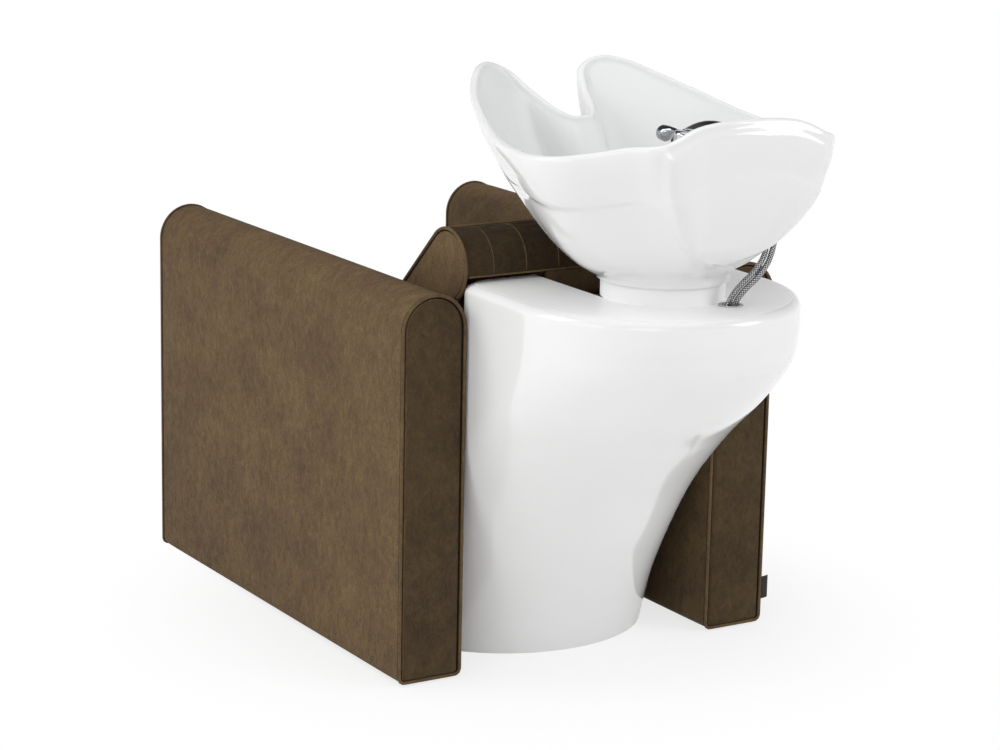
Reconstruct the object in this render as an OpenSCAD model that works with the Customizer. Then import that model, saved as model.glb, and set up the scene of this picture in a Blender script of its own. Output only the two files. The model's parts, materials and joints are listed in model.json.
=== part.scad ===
// Shampoo backwash unit: an armchair joined to a pedestal that carries a tilting ceramic basin.
// Millimetres, +Z up. +X is the client's left, the client faces -Y and the basin is at +Y.
// The origin is on the floor, midway along the length and the width.

/* [Arms] */
// Width over both arms
overall_w = 730; // [710:5:760]
// Length of an arm
arm_l = 912; // [880:4:940]
// Height of an arm
arm_h = 650; // [630:5:660]
// Thickness of an arm over its piping
arm_t = 120; // [112:2:124]
// Thickness of the plywood core in an arm
core_t = 36; // [30:2:44]
// Padding between the core's edges and the end of the arm
core_margin = 45; // [35:5:50]
// Diameter of the piping cord
piping_d = 6; // [5:0.5:8]
// Height of a glide under the arm
glide_h = 5; // [3:1:10]
// Diameter of a glide
glide_d = 30; // [20:2:30]

/* [Seat] */
// Height of the seat's crown
seat_h = 455; // [440:5:462]
// Thickness of the seat cushion at its crown
seat_t = 110; // [90:5:120]
// Rise of the crown over the cushion's edges
seat_crown = 14; // [6:2:20]
// Thickness of the seat board
seat_board_t = 18; // [12:1:24]
// Width and height of a square rail tube
rail_w = 40; // [30:2:46]
// Wall of a rail tube
rail_wall = 2.5; // [1.5:0.5:4]
// Thickness of a rail's end plate
end_plate_t = 6; // [4:1:8]
// Thickness of the padded front panel
apron_t = 24; // [16:2:30]
// Bolt diameter of the chair frame
bolt_d = 8; // [6:1:10]

/* [Backrest] */
// Rise of the backrest's top over the pedestal
back_over = 83; // [78:1:88]
// Thickness of the backrest
back_t = 123; // [110:1:126]
// Slope of the backrest over the horizontal, in degrees
back_slope = 43.5; // [42:0.5:45]
// Number of sewn channels across the backrest
channels = 8; // [6:1:10]
// Depth of a channel's seam
seam_depth = 5; // [3:0.5:7]
// Thickness of the plywood in the backrest
back_board_t = 15; // [12:1:18]
// Thickness of the padded rear panel
rear_panel_t = 15; // [12:1:18]
// Thickness of the steel of a backrest bracket
bracket_t = 4; // [3:0.5:4]

/* [Pedestal] */
// Height of the pedestal's top
ped_h = 657; // [650:1:662]
// Gap between the pedestal and each arm
ped_gap = 6; // [5:1:12]
// Wall of the moulded shell
ped_wall = 8; // [6:1:10]
// Thickness of the pedestal's top
ped_top_t = 10; // [8:1:14]
// Radius of the pedestal's top edge
ped_edge = 16; // [10:1:20]
// Width of the notch in the pedestal's top
notch_w = 188; // [180:2:190]
// Corner radius of the two horns beside the notch
horn_r = 46; // [36:2:54]
// Thickness of the steel base plate
base_t = 8; // [6:1:12]
// Width of a square column tube
column_w = 50; // [40:2:56]
// Wall of a column tube
column_wall = 3; // [2:0.5:5]
// Diameter of the holes for the floor bolts
floor_hole_d = 12; // [9:1:14]

/* [Tilt] */
// Distance of the collar's axis behind the arms
collar_back = 190; // [184:1:200]
// Outer diameter of the collar
collar_d = 199; // [197:0.5:200]
// Wall of the collar
collar_wall = 7; // [6:0.5:8]
// Height of the collar over the pedestal
collar_h = 45; // [42:1:46]
// Height of the tilt axis over the pedestal
axis_h = 33; // [32:1:36]
// Diameter of a tilt pin
pin_d = 12; // [10:0.5:14]
// Thickness of the tilt mechanism's steel
tilt_t = 8; // [6:0.5:9]

/* [Basin] */
// Width of the basin
basin_w = 562; // [540:2:570]
// Rise of the rim at the basin's sides over the pedestal
rim_over = 251; // [242:1:258]
// Thickness of the rim
rim_t = 22; // [18:1:26]
// Reach of the basin behind the collar's axis
basin_rear = 226; // [222:1:232]
// Height of the band under the rim
band_h = 66; // [50:2:76]
// Depth of the step under the band
band_step = 6; // [3:0.5:8]
// Rise of the band at the lobes beside the neck
band_rise = 24; // [0:2:30]
// Fall of the tap deck below the rear arch
deck_drop = 50; // [44:1:56]
// Depth of the tap deck from front to back
deck_w = 78; // [74:1:86]
// Diameter of the drain hole
drain_d = 43; // [42:0.5:46]

/* [Fittings] */
// Diameter of the threaded drain tail
tail_d = 40; // [36:1:40]
// Diameter of the mixer's body
mixer_d = 42; // [36:1:44]
// Length of the mixer's lever from its pin
lever_l = 58; // [46:2:66]
// Diameter of the ball on the lever
ball_d = 20; // [14:1:22]
// Diameter of the hand shower's grip
grip_d = 21; // [18:1:24]
// Bend radius of the grip
grip_bend = 170; // [150:5:190]
// Diameter of a supply hose
hose_d = 9; // [8:0.5:10]

/* [Hidden] */
$fn = 64;
fit_gap = 0.3;
run_gap = 0.1;
soft_gap = 2;

// Arms
half_l = (arm_l + collar_back + basin_rear) / 2;
front_y = -half_l;
arm_rear = front_y + arm_l;
arm_x = (overall_w - arm_t) / 2;
piping_proud = piping_d / 3;
cover_t = arm_t - 2 * piping_proud;
inner_x = arm_x - cover_t / 2;
core_x = arm_x - core_t / 2;
core_top = arm_h - 45;
glide_inset = 80;
end_inset = 1;

// Seat and its rails
between = inner_x - piping_proud - soft_gap;
seat_front = front_y + 10;
board_top = seat_h - seat_t;
board_bottom = board_top - seat_board_t;
rail_z = board_bottom - rail_w / 2;
front_rail_y = seat_front + apron_t + fit_gap + rail_w / 2;
back_front = -152;
seat_rear = back_front - 4;
rail_set = 30;
rear_rail_y = seat_rear - rail_set;
plate_l = 92;
plate_shift = (plate_l - rail_w) / 2;
bolt_out = 24;
bolt_reach = 22;
head_d = 1.6 * bolt_d;
head_h = 0.65 * bolt_d;

// Backrest, as a sloping slab with a round nose
nose_r = back_t / 2;
nose_set = 76;
nose_z = ped_h + back_over - nose_r;
nose_y = arm_rear - nose_set;
back_foot = 372;
panel_top = 19;
board_drop = 32;
slab_edge = 25;
slab_half = between - slab_edge;
slot_half = slab_half + soft_gap;
horn_room = 8;
horn_reach = 120;
horn_depth = 60;
bracket_l = 110;
bracket_drop = 37;
bracket_room = 73;
bracket_mid = min((core_top - bracket_drop - nose_z) / sin(back_slope),
  -board_drop - bracket_room - bracket_l / 2);
bracket_from = bracket_mid - bracket_l / 2;
bracket_to = bracket_mid + bracket_l / 2;
bracket_web = 58;
bracket_hole_y = 26;
screw_d = 5;

// Pedestal
ped_w = 2 * (inner_x - ped_gap);
horn_y = arm_rear - 53;
horn_low = ped_h - 57;
foot_front = -110;
foot_depth = 224;
top_depth = 245;
collar_y = arm_rear + collar_back;
ped_under = ped_h - ped_top_t;
plate_t = 6;
plate_half = 112;
plate_front = 90;
plate_rear = 80;
plate_from = collar_y - plate_front;
plate_to = collar_y + plate_rear;
base_inset = 101;
base_half = ped_w / 2 - base_inset;
base_from = foot_front + 12;
base_set = 288;
base_to = collar_y - base_set;
column_x = 75;
column_foot = 62;
column_head = collar_y - 6;
link_w = 30;
plate_screw_y = 62;
drain_room = 30;

// Rear line of the pedestal from the floor to the top: share of the height, and y from the
// collar's axis
ped_back_line = [
  [0, -227],
  [0.152, -191],
  [0.304, -136],
  [0.457, -67],
  [0.609, 28],
  [0.731, 122],
  [0.837, 188],
  [0.913, 204],
  [1 - ped_edge / ped_h, 206]
];
ped_back = [for (p = ped_back_line) [p[0] * ped_h, collar_y + p[1]]];

// Tilt mechanism
axis_z = ped_h + axis_h;
collar_top = ped_h + collar_h;
ring_z = axis_z - 3;
ring_in = collar_d / 2 + 2.8;
ring_out = ring_in + 4;
under_z = collar_top + 18;
cradle_r = 78;
lug_x = 48;
ear_x = lug_x + tilt_t + 2;
lug_r = 16;
ear_w = 52;
bush_wall = 3;

// Basin
bowl_z = under_z + 24;
seat_depth = 6;
seat_r = 38;
rim_z = ped_h + rim_over;
half_w = basin_w / 2 - rim_t / 2;
rim_rear = basin_rear - rim_t / 2;
deck_z = rim_z + 60 - deck_drop;

// Rim crest from the neck notch round to the rear middle, on the client's left:
// x as a share of the half width, y from the collar's axis, rise over the side rim,
// and the direction of the matching point on the base ring.
rim = [
  [0, -245, 2, -90],
  [0.08, -249, 4, -86],
  [0.15, -276, 15, -82],
  [0.215, -328, 42, -78],
  [0.28, -360, 68, -74],
  [0.40, -362, 82, -69],
  [0.53, -336, 77, -62],
  [0.68, -279, 54, -52],
  [0.78, -220, 35, -42],
  [0.86, -158, 17, -31],
  [0.93, -92, 4, -19],
  [0.98, -12, 0, -5],
  [0.985, 45, 1, 8],
  [0.92, 86, 4, 22],
  [0.81, 122, 9, 38],
  [0.68, 166, 19, 55],
  [0.555, rim_rear - 7, 29, 70],
  [0.33, rim_rear - 2, 53, 80],
  [0, rim_rear, 60, 90]
];
rim_last = len(rim) - 1;
rim_steps = 2;

// Fittings
strainer_d = tail_d - 4;
spigot_d = tail_d - 2;
spigot_l = 30;
sieve_drop = 5;
tail_wall = 3;
flange_t = 3;
nut_h = 9;
nut_d = tail_d + 22;
tail_end = axis_z - 32;
mixer_x = 78;
mixer_back = 162;
mixer_y = collar_y + mixer_back;
mixer_base_h = 12;
cap_h = 17;
shank_d = 22;
shank_l = 26;
tongue_w = 8;
lever_pin_d = 4;
lever_d = 8;
shower_x = -34;
shower_top = deck_z + 30;
shower_y = collar_y + 88;
arc_half = 27;
holder_wall = 4;
holder_l = 34;
holder_mouth = 20;
tail_l = 30;
head_l = 34;
head_w = 34;

// Supply hoses: where they leave the basin and where they enter the pedestal
pocket_back = 142;
hose_pocket = [-92, collar_y + pocket_back];
hose_pocket_d = 56;
hose_hole = [-49.5, collar_y + 115.5];
hose_hole_d = 34;
hose_wall = 1.6;
hose_pitch = 14;
coupling_pitch = 32;
ferrule_d = 12;
ferrule_l = 26;
coupling_l = 34;
bridge_t = 4;
bridge_w = 70;
bridge_drop = 18;
bridge_back = 20;
bridge_over = 18;

// Route of the middle line between the two hoses, from the basin down to the coupling:
// x, y from the collar's axis and z from the pedestal's top
hose_line = [
  [-98, 146, 115],
  [-98, 146, 101],
  [-97, 145, 87],
  [-93, 143, 73],
  [-87, 139, 60],
  [-79, 134, 47],
  [-69, 128, 35],
  [-60, 122, 22],
  [-53, 118, 9],
  [-49, 115, -5],
  [-46, 113, -19],
  [-45, 112, -35],
  [-45, 112, -53],
  [-45, 112, -69]
];
hose_route = [for (p = hose_line) [p[0], collar_y + p[1], ped_h + p[2]]];

// Curves and skins
function mix(a, b, t) = a + (b - a) * t;

function unit(v) = v / norm(v);

function bezier(a, b, c, d, t) =
  let (s = 1 - t)
  s * s * s * a + 3 * s * s * t * b + 3 * s * t * t * c + t * t * t * d;

function smooth(t) =
  let (s = max(0, min(1, t)))
  s * s * (3 - 2 * s);

// Point on a curve through four neighbours, between the second and the third
function blend4(a, b, c, d, t) =
  0.5 * (2 * b + (c - a) * t + (2 * a - 5 * b + 4 * c - d) * t * t
    + (3 * b - a - 3 * c + d) * t * t * t);

function heading4(a, b, c, d, t) =
  0.5 * ((c - a) + 2 * (2 * a - 5 * b + 4 * c - d) * t
    + 3 * (3 * b - a - 3 * c + d) * t * t);

function clamped(list, i) = list[max(0, min(len(list) - 1, i))];

function along(list, i, t) =
  blend4(clamped(list, i - 1), list[i], clamped(list, i + 1), clamped(list, i + 2), t);

// Closed skin over rings with equal numbers of points. wrap joins the last ring to the first;
// otherwise each end is closed by a strip between the two halves of its ring.
module skin(rings, wrap = false) {
  n = len(rings);
  m = len(rings[0]);
  half = floor(m / 2);
  last = wrap ? n - 1 : n - 2;
  sides = [
    for (i = [0:last], j = [0:m - 1])
      let (k = (j + 1) % m, i2 = (i + 1) % n)
      each [
        [i * m + j, i * m + k, i2 * m + k],
        [i * m + j, i2 * m + k, i2 * m + j]
      ]
  ];
  function strip(base, flip) = [
    for (j = [0:half - 1])
      let (a = base + j, b = base + j + 1, c = base + m - 2 - j, d = base + m - 1 - j)
      each c > b
        ? (flip ? [[a, c, b], [a, d, c]] : [[a, b, c], [a, c, d]])
        : c == b ? (flip ? [[a, d, b]] : [[a, b, d]]) : []
  ];
  ends = wrap ? [] : concat(strip(0, true), strip((n - 1) * m, false));
  polyhedron([for (r = rings) each r], concat(sides, ends), convexity = 10);
}

// Rings of a given radius along a list of points
function tube_rings(path, r, sides) =
  let (last = len(path) - 1)
  [
    for (i = [0:last])
      let (
        t = unit(path[min(i + 1, last)] - path[max(i - 1, 0)]),
        u = unit(cross([0, 1, 0], t)),
        v = cross(t, u)
      )
      [for (a = [0:sides - 1]) path[i] + r * (cos(360 * a / sides) * u + sin(360 * a / sides) * v)]
  ];

module bar_x(r, from, to) {
  translate([from, 0, 0])
    rotate([0, 90, 0])
      cylinder(r = r, h = to - from);
}

module both_sides() {
  children();
  mirror([1, 0, 0]) children();
}

// Places children in the backrest's frame: +y up the slope, +z out of its front
module on_slab() {
  translate([0, nose_y, nose_z])
    rotate([back_slope, 0, 0])
      children();
}

function slab_point(y, z) = [
  nose_y + y * cos(back_slope) - z * sin(back_slope),
  nose_z + y * sin(back_slope) + z * cos(back_slope)
];

// Arms
module bullnose_bar(r, from, to, bottom, top) {
  translate([arm_x, to, 0])
    rotate([90, 0, 0])
      linear_extrude(to - from) {
        translate([-r, bottom]) square([2 * r, top - r - bottom]);
        translate([0, top - r]) circle(r);
      }
}

module piping_loop(r) {
  ring = arm_t / 2 - piping_d / 2;
  for (y = [front_y + piping_d / 2, arm_rear - piping_d / 2])
    translate([arm_x, y, arm_h - arm_t / 2]) {
      rotate([90, 0, 0])
        rotate_extrude(angle = 180)
          translate([ring, 0]) circle(r, $fn = 24);
      for (x = [-ring, ring])
        translate([x, 0, glide_h - arm_h + arm_t / 2])
          cylinder(r = r, h = arm_h - arm_t / 2 - glide_h, $fn = 24);
    }
}

module core_block(gap) {
  translate([core_x - gap, front_y + core_margin - gap, glide_h])
    cube([core_t + 2 * gap, arm_l - 2 * core_margin + 2 * gap, core_top - glide_h + gap]);
}

module bracket_bolt_axes() {
  on_slab()
    for (s = [-1, 1])
      translate([0, (bracket_from + bracket_to) / 2 + s * bracket_hole_y, 0]) children();
}

module rail_bolt_axes() {
  for (y = [front_rail_y, rear_rail_y], s = [-1, 1])
    translate([0, y + plate_shift + s * bolt_out, rail_z]) children();
}

// Every bolt that enters an arm: rails and backrest brackets
module arm_bolt_axes() {
  rail_bolt_axes() children();
  bracket_bolt_axes() children();
}

module arm_cover() {
  difference() {
    bullnose_bar(cover_t / 2, front_y + end_inset, arm_rear - end_inset, glide_h,
      arm_h - piping_proud);
    translate([0, 0, -1]) core_block(fit_gap);
    core_block(fit_gap);
    piping_loop(piping_d / 2 + run_gap);
    arm_bolt_axes() bar_x(bolt_d / 2 + fit_gap, inner_x - 5, core_x + 1);
  }
}

module arm_core() {
  difference() {
    core_block(0);
    arm_bolt_axes() bar_x(bolt_d / 2 + run_gap, core_x - 1, core_x + bolt_reach + 2);
  }
}

module left_arm_cover() {
  color([0.42, 0.31, 0.22]) arm_cover();
}

module right_arm_cover() {
  color([0.42, 0.31, 0.22]) mirror([1, 0, 0]) arm_cover();
}

module left_arm_core() {
  color([0.72, 0.58, 0.4]) arm_core();
}

module right_arm_core() {
  color([0.72, 0.58, 0.4]) mirror([1, 0, 0]) arm_core();
}

module left_arm_piping() {
  color([0.3, 0.21, 0.15]) piping_loop(piping_d / 2);
}

module right_arm_piping() {
  color([0.3, 0.21, 0.15]) mirror([1, 0, 0]) piping_loop(piping_d / 2);
}

module arm_glides() {
  color([0.12, 0.12, 0.12])
    both_sides()
      for (y = [front_y + glide_inset, arm_rear - glide_inset])
        translate([arm_x, y, 0]) cylinder(d = glide_d, h = glide_h);
}

// Seat
// Crowned cushion: edges drawn in between the corners, top raised in the middle
module seat_cushion() {
  cols = 24;
  rows = 14;
  draw_in = 5;
  edge_r = 16;
  function span(i, n) = let (t = 2 * i / n - 1) sign(t) * pow(abs(t), 0.75);
  function bow(t) = 1 - pow(abs(t), 4);
  function crown(u, v) = seat_crown * (bow(u) * bow(v) - 1);
  function spot(i, j, lift) =
    let (
      u = span(i, cols),
      v = span(j, rows),
      x = u * (between - draw_in * (1 - v * v)),
      y = mix(seat_front, seat_rear, (v + 1) / 2) - v * draw_in * (1 - u * u)
    )
    [x, y, lift ? seat_h + crown(u, v) : board_top];
  top = [for (j = [0:rows], i = [0:cols]) spot(i, j, true)];
  bottom = [for (j = [0:rows], i = [0:cols]) spot(i, j, false)];
  w = cols + 1;
  n = len(top);
  rim_path = concat(
    [for (i = [0:cols - 1]) i],
    [for (j = [0:rows - 1]) j * w + cols],
    [for (i = [cols:-1:1]) rows * w + i],
    [for (j = [rows:-1:1]) j * w]
  );
  waist = [
    for (k = rim_path)
      let (t = top[k], b = bottom[k], c = [0, (seat_front + seat_rear) / 2, 0])
      [t[0] * (1 + edge_r / 1500), t[1] + (t[1] - c[1]) * edge_r / 1500, mix(b[2], t[2], 0.62)]
  ];
  r = len(rim_path);
  faces = concat(
    [
      for (j = [0:rows - 1], i = [0:cols - 1])
        let (a = j * w + i)
        each [[a, a + w, a + w + 1], [a, a + w + 1, a + 1]]
    ],
    [
      for (j = [0:rows - 1], i = [0:cols - 1])
        let (a = n + j * w + i)
        each [[a, a + w + 1, a + w], [a, a + 1, a + w + 1]]
    ],
    [
      for (k = [0:r - 1])
        let (p = rim_path[k], q = rim_path[(k + 1) % r], wp = 2 * n + k, wq = 2 * n + (k + 1) % r)
        each [[p, q, wq], [p, wq, wp], [wp, wq, n + q], [wp, n + q, n + p]]
    ]
  );
  color([0.42, 0.31, 0.22]) polyhedron(concat(top, bottom, waist), faces, convexity = 6);
}

module seat_board() {
  color([0.72, 0.58, 0.4])
    translate([-between, seat_front + 2, board_bottom])
      cube([2 * between, seat_rear - seat_front - 4, seat_board_t]);
}

// Square tube with a bolted plate on each end
module seat_rail(y) {
  tube_half = inner_x - end_plate_t;
  difference() {
    translate([-tube_half, y - rail_w / 2, rail_z - rail_w / 2])
      cube([2 * tube_half, rail_w, rail_w]);
    translate([-tube_half - 1, y - rail_w / 2 + rail_wall, rail_z - rail_w / 2 + rail_wall])
      cube([2 * tube_half + 2, rail_w - 2 * rail_wall, rail_w - 2 * rail_wall]);
  }
  difference() {
    both_sides()
      translate([tube_half, y - rail_w / 2, rail_z - rail_w / 2])
        cube([end_plate_t, plate_l, rail_w]);
    rail_bolt_axes() bar_x(bolt_d / 2 + fit_gap, -inner_x - 1, inner_x + 1);
  }
}

module front_rail() {
  color([0.2, 0.2, 0.2]) seat_rail(front_rail_y);
}

module rear_rail() {
  color([0.2, 0.2, 0.2]) seat_rail(rear_rail_y);
}

module hex_bolt(head_at) {
  bar_x(bolt_d / 2, head_at, core_x + bolt_reach);
  translate([head_at - head_h, 0, 0])
    rotate([0, 90, 0])
      cylinder(d = head_d, h = head_h, $fn = 6);
}

module rail_bolts() {
  color([0.6, 0.6, 0.62])
    both_sides()
      rail_bolt_axes() hex_bolt(inner_x - end_plate_t);
}

module front_panel() {
  clear_floor = 40;
  color([0.42, 0.31, 0.22])
    translate([-between, seat_front, clear_floor])
      cube([2 * between, apron_t, board_bottom - fit_gap - clear_floor]);
}

// Backrest
// Outline of the pad seen from the side, with the direction in which a seam draws it in
function slab_outline() =
  let (
    front_low = (back_front - slab_point(0, nose_r)[0]) / cos(back_slope),
    rear_low = (back_foot - slab_point(0, -nose_r)[1]) / sin(back_slope),
    fronts = 6,
    arcs = 14
  )
  concat(
    [[back_front, back_foot, 0, 0]],
    [
      for (i = [0:fronts - 1])
        let (p = slab_point(mix(front_low, 0, i / fronts), nose_r))
        [p[0], p[1], sin(back_slope), -cos(back_slope)]
    ],
    [
      for (i = [0:arcs])
        let (
          a = mix(90, -82, i / arcs) + back_slope,
          c = cos(a),
          s = sin(a)
        )
        [nose_y + nose_r * c, nose_z + nose_r * s, -c, -s]
    ],
    [
      let (p = slab_point(rear_low, -nose_r))
      [p[0], p[1], 0, 0]
    ]
  );

function slab_ring(x, draw) = [
  for (p = slab_outline())
    [x, p[0] + p[2] * draw, p[1] + p[3] * draw]
];

// Pad with rounded channels side by side and a rabbet at each end for the piping
module slab_pad() {
  rabbet = piping_d + 0.5;
  wide = 2 * (between - rabbet) / channels;
  rounds = [[0, 1], [0.08, 0.5], [0.25, 0.12], [0.5, 0], [0.75, 0.12], [0.92, 0.5]];
  body = [
    for (c = [0:channels - 1], r = rounds)
      slab_ring(-between + rabbet + (c + r[0]) * wide, c == 0 && r[0] == 0 ? 0 : seam_depth * r[1])
  ];
  low = piping_d;
  rings = concat(
    [slab_ring(-between, low), slab_ring(-between + rabbet, low)],
    body,
    [
      slab_ring(between - rabbet, 0),
      slab_ring(between - rabbet, low),
      slab_ring(between, low)
    ]
  );
  skin(rings);
}

module horn_space() {
  both_sides()
    translate([notch_w / 2 - horn_room, horn_y - horn_room, horn_low - horn_depth])
      cube([between + horn_room - notch_w / 2, horn_reach, ped_h + horn_room - horn_low + horn_depth]);
}

module backrest_pad() {
  deep = rear_panel_t + back_board_t + fit_gap;
  color([0.42, 0.31, 0.22])
    difference() {
      slab_pad();
      on_slab() {
        translate([-slot_half, -half_l, -nose_r - 20])
          cube([2 * slot_half, half_l - board_drop + fit_gap, deep + 20]);
        translate([-slot_half, -board_drop - 1, -nose_r - 20])
          cube([2 * slot_half, panel_top + board_drop + 1 + fit_gap, rear_panel_t + fit_gap + 20]);
        translate([-between - 1, -half_l, -nose_r - 20])
          cube([2 * between + 2, half_l + bracket_to + 8, deep + 20]);
      }
      both_sides()
        bracket_bolt_axes() bar_x(head_d / 2 + soft_gap, between - head_h - soft_gap, between + 1);
      horn_space();
    }
}

// Lower end of the board and of the rear panel, along the slope
slab_low = (back_foot - slab_point(0, -nose_r)[1]) / sin(back_slope) + 30;

module bracket_holes() {
  both_sides()
    on_slab()
      for (y = [bracket_from + 20, bracket_to - 20])
        translate([slab_half - bracket_web / 2, y, -nose_r]) children();
}

module backrest_board() {
  color([0.72, 0.58, 0.4])
    difference() {
      on_slab()
        translate([-slab_half, slab_low, -nose_r + rear_panel_t])
          cube([2 * slab_half, -board_drop - slab_low, back_board_t]);
      bracket_holes() cylinder(d = screw_d + 2 * run_gap, h = rear_panel_t + 11);
    }
}

module backrest_rear_panel() {
  room = bracket_t + 4;
  color([0.42, 0.31, 0.22])
    difference() {
      on_slab()
        translate([-slab_half, slab_low, -nose_r])
          cube([2 * slab_half, panel_top - slab_low, rear_panel_t]);
      both_sides()
        on_slab()
          translate([slab_half - bracket_web - 2, bracket_from - 2, -nose_r + rear_panel_t - room])
            cube([bracket_web + 10, bracket_to - bracket_from + 4, room + 1]);
      horn_space();
    }
}

module backrest_piping() {
  r = piping_d / 2;
  inset = r - 1;
  piping_turn = 56;
  front_low = (back_front - slab_point(0, nose_r)[0]) / cos(back_slope) + 12;
  color([0.3, 0.21, 0.15])
    both_sides()
      translate([between - r, 0, 0])
        on_slab() {
          rotate([90, 0, 90])
            rotate([0, 0, -piping_turn])
              rotate_extrude(angle = 90 + piping_turn)
                translate([nose_r - inset, 0]) circle(r, $fn = 24);
          translate([0, 0, nose_r - inset])
            rotate([90, 0, 0])
              cylinder(r = r, h = -front_low, $fn = 24);
        }
}

// Angle bracket: a web behind the board and a flange against the arm
module bracket() {
  long = bracket_to - bracket_from;
  flange_over = 14;
  difference() {
    on_slab() {
      translate([slab_half - bracket_web, bracket_from, -nose_r + rear_panel_t - bracket_t])
        cube([inner_x - slab_half + bracket_web, long, bracket_t]);
      translate([inner_x - bracket_t, bracket_from, -nose_r + rear_panel_t - bracket_t])
        cube([bracket_t, long, nose_r - rear_panel_t + bracket_t + flange_over]);
    }
    bracket_bolt_axes() bar_x(bolt_d / 2 + fit_gap, inner_x - bracket_t - 1, inner_x + 1);
    bracket_holes() cylinder(d = screw_d + 2 * fit_gap, h = rear_panel_t + 1);
  }
}

module backrest_brackets() {
  color([0.2, 0.2, 0.2]) both_sides() bracket();
}

module bracket_bolts() {
  color([0.6, 0.6, 0.62])
    both_sides()
      bracket_bolt_axes() hex_bolt(inner_x - bracket_t);
}

module bracket_screws() {
  head = rear_panel_t - bracket_t;
  color([0.6, 0.6, 0.62])
    bracket_holes() {
      translate([0, 0, head - 3]) cylinder(d = 2 * screw_d, h = 3);
      translate([0, 0, head]) cylinder(d = screw_d, h = bracket_t + 10);
    }
}

// Pedestal
function ped_front(z) = max(foot_front, horn_y - max(0, horn_low - z) / tan(back_slope));

// Open outline from the left horn round the rear to the right horn
function ped_path(half, front, back, depth, corner) =
  let (
    mid = back - depth,
    r = max(2, min(corner, mid - front - 2)),
    turns = 4,
    bends = 28
  )
  concat(
    [
      for (i = [0:turns])
        let (a = 270 + 90 * i / turns)
        [half - r + r * cos(a), front + r + r * sin(a)]
    ],
    [
      for (i = [0:bends])
        let (a = 180 * i / bends)
        [half * cos(a), mid + depth * sin(a)]
    ],
    [
      for (i = [turns:-1:0])
        let (a = 270 + 90 * i / turns)
        [-half + r - r * cos(a), front + r + r * sin(a)]
    ]
  );

// Edge of the notch in the top, with as many points as the outline
function notch_path(front) =
  let (r = notch_w / 2, turns = 4, bends = 28)
  concat(
    [for (i = [0:turns]) [r, mix(front, collar_y - 20, i / turns)]],
    [for (i = [0:bends]) let (a = 180 * i / bends) [r * cos(a), collar_y + r * sin(a)]],
    [for (i = [turns:-1:0]) [-r, mix(front, collar_y - 20, i / turns)]]
  );

function lifted(path, z) = [for (p = path) [p[0], p[1], z]];

function turned(path) = [for (i = [len(path) - 1:-1:0]) path[i]];

function ped_depth(z) = mix(foot_depth, top_depth, z / ped_h);

function ped_outer(z, back, inset) =
  lifted(ped_path(ped_w / 2 - inset, ped_front(z), back - inset, ped_depth(z) - inset, horn_r), z);

function ped_inner(z, back) =
  lifted(ped_path(ped_w / 2 - ped_wall, ped_front(z) + ped_wall, back - ped_wall,
    ped_depth(z) - ped_wall, horn_r - ped_wall), z);

module ped_skin() {
  top_back = ped_back[len(ped_back) - 1][1];
  edge_z = ped_h - ped_edge;
  walls = [
    for (i = [0:len(ped_back) - 2], t = [0, 0.5])
      let (p = along(ped_back, i, t))
      concat(ped_outer(p[0], p[1], 0), turned(ped_inner(p[0], p[1])))
  ];
  notch = notch_path(horn_y);
  function edge(a) = ped_outer(edge_z + ped_edge * sin(a), top_back, ped_edge * (1 - cos(a)));
  skin(concat(walls, [
    concat(ped_outer(edge_z, top_back, 0), turned(ped_inner(edge_z - 6, top_back))),
    concat(edge(30), turned(lifted(ped_inner(edge_z, top_back), ped_under))),
    concat(edge(60), turned(lifted(notch, ped_under))),
    concat(edge(90), turned(lifted(notch, ped_h)))
  ]));
}

module plate_screw_spots() {
  for (x = [-1, 1], y = [-1, 1])
    translate([x * (plate_half - 8), collar_y + y * plate_screw_y, 0]) children();
}

module pedestal_shell() {
  color([0.95, 0.95, 0.95])
    difference() {
      ped_skin();
      translate([hose_hole[0], hose_hole[1], ped_h - 40])
        cylinder(d = hose_hole_d, h = 60);
      plate_screw_spots()
        translate([0, 0, ped_under - 1]) cylinder(d = screw_d + 2 * run_gap, h = 7);
    }
}

module base_plate() {
  color([0.2, 0.2, 0.2])
    difference() {
      translate([-base_half, base_from, 0]) cube([2 * base_half, base_to - base_from, base_t]);
      for (x = [-1, 1], y = [base_from + 24, base_to - 24])
        translate([x * (base_half - 22), y, -1]) cylinder(d = floor_hole_d, h = base_t + 2);
    }
}

// Places children on the axis of the left column, which leans back
module on_column() {
  translate([column_x, column_foot, base_t])
    rotate([-atan((column_head - column_foot) / (ped_under - plate_t - base_t)), 0, 0])
      children();
}

// Sloping square tube welded between the base plate and the top plate
module column() {
  over = 100;
  module post(half) {
    on_column()
      translate([-half, -half, -over]) cube([2 * half, 2 * half, ped_h + 3 * over]);
  }
  intersection() {
    difference() {
      post(column_w / 2);
      post(column_w / 2 - column_wall);
    }
    translate([0, base_from - over, base_t])
      cube([2 * column_x, half_l, ped_under - plate_t - base_t]);
  }
}

module left_column() {
  color([0.2, 0.2, 0.2]) column();
}

module right_column() {
  color([0.2, 0.2, 0.2]) mirror([1, 0, 0]) column();
}

// Bars that join the chair's rear rail to the columns
module link_bars() {
  from = rear_rail_y + rail_w / 2;
  color([0.2, 0.2, 0.2])
    both_sides()
      difference() {
        translate([column_x - link_w / 2, from, rail_z - link_w / 2])
          cube([link_w, half_l, link_w]);
        on_column()
          translate([-column_w, -column_w / 2, -half_l]) cube([2 * column_w, 2 * half_l, 3 * half_l]);
      }
}

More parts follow.
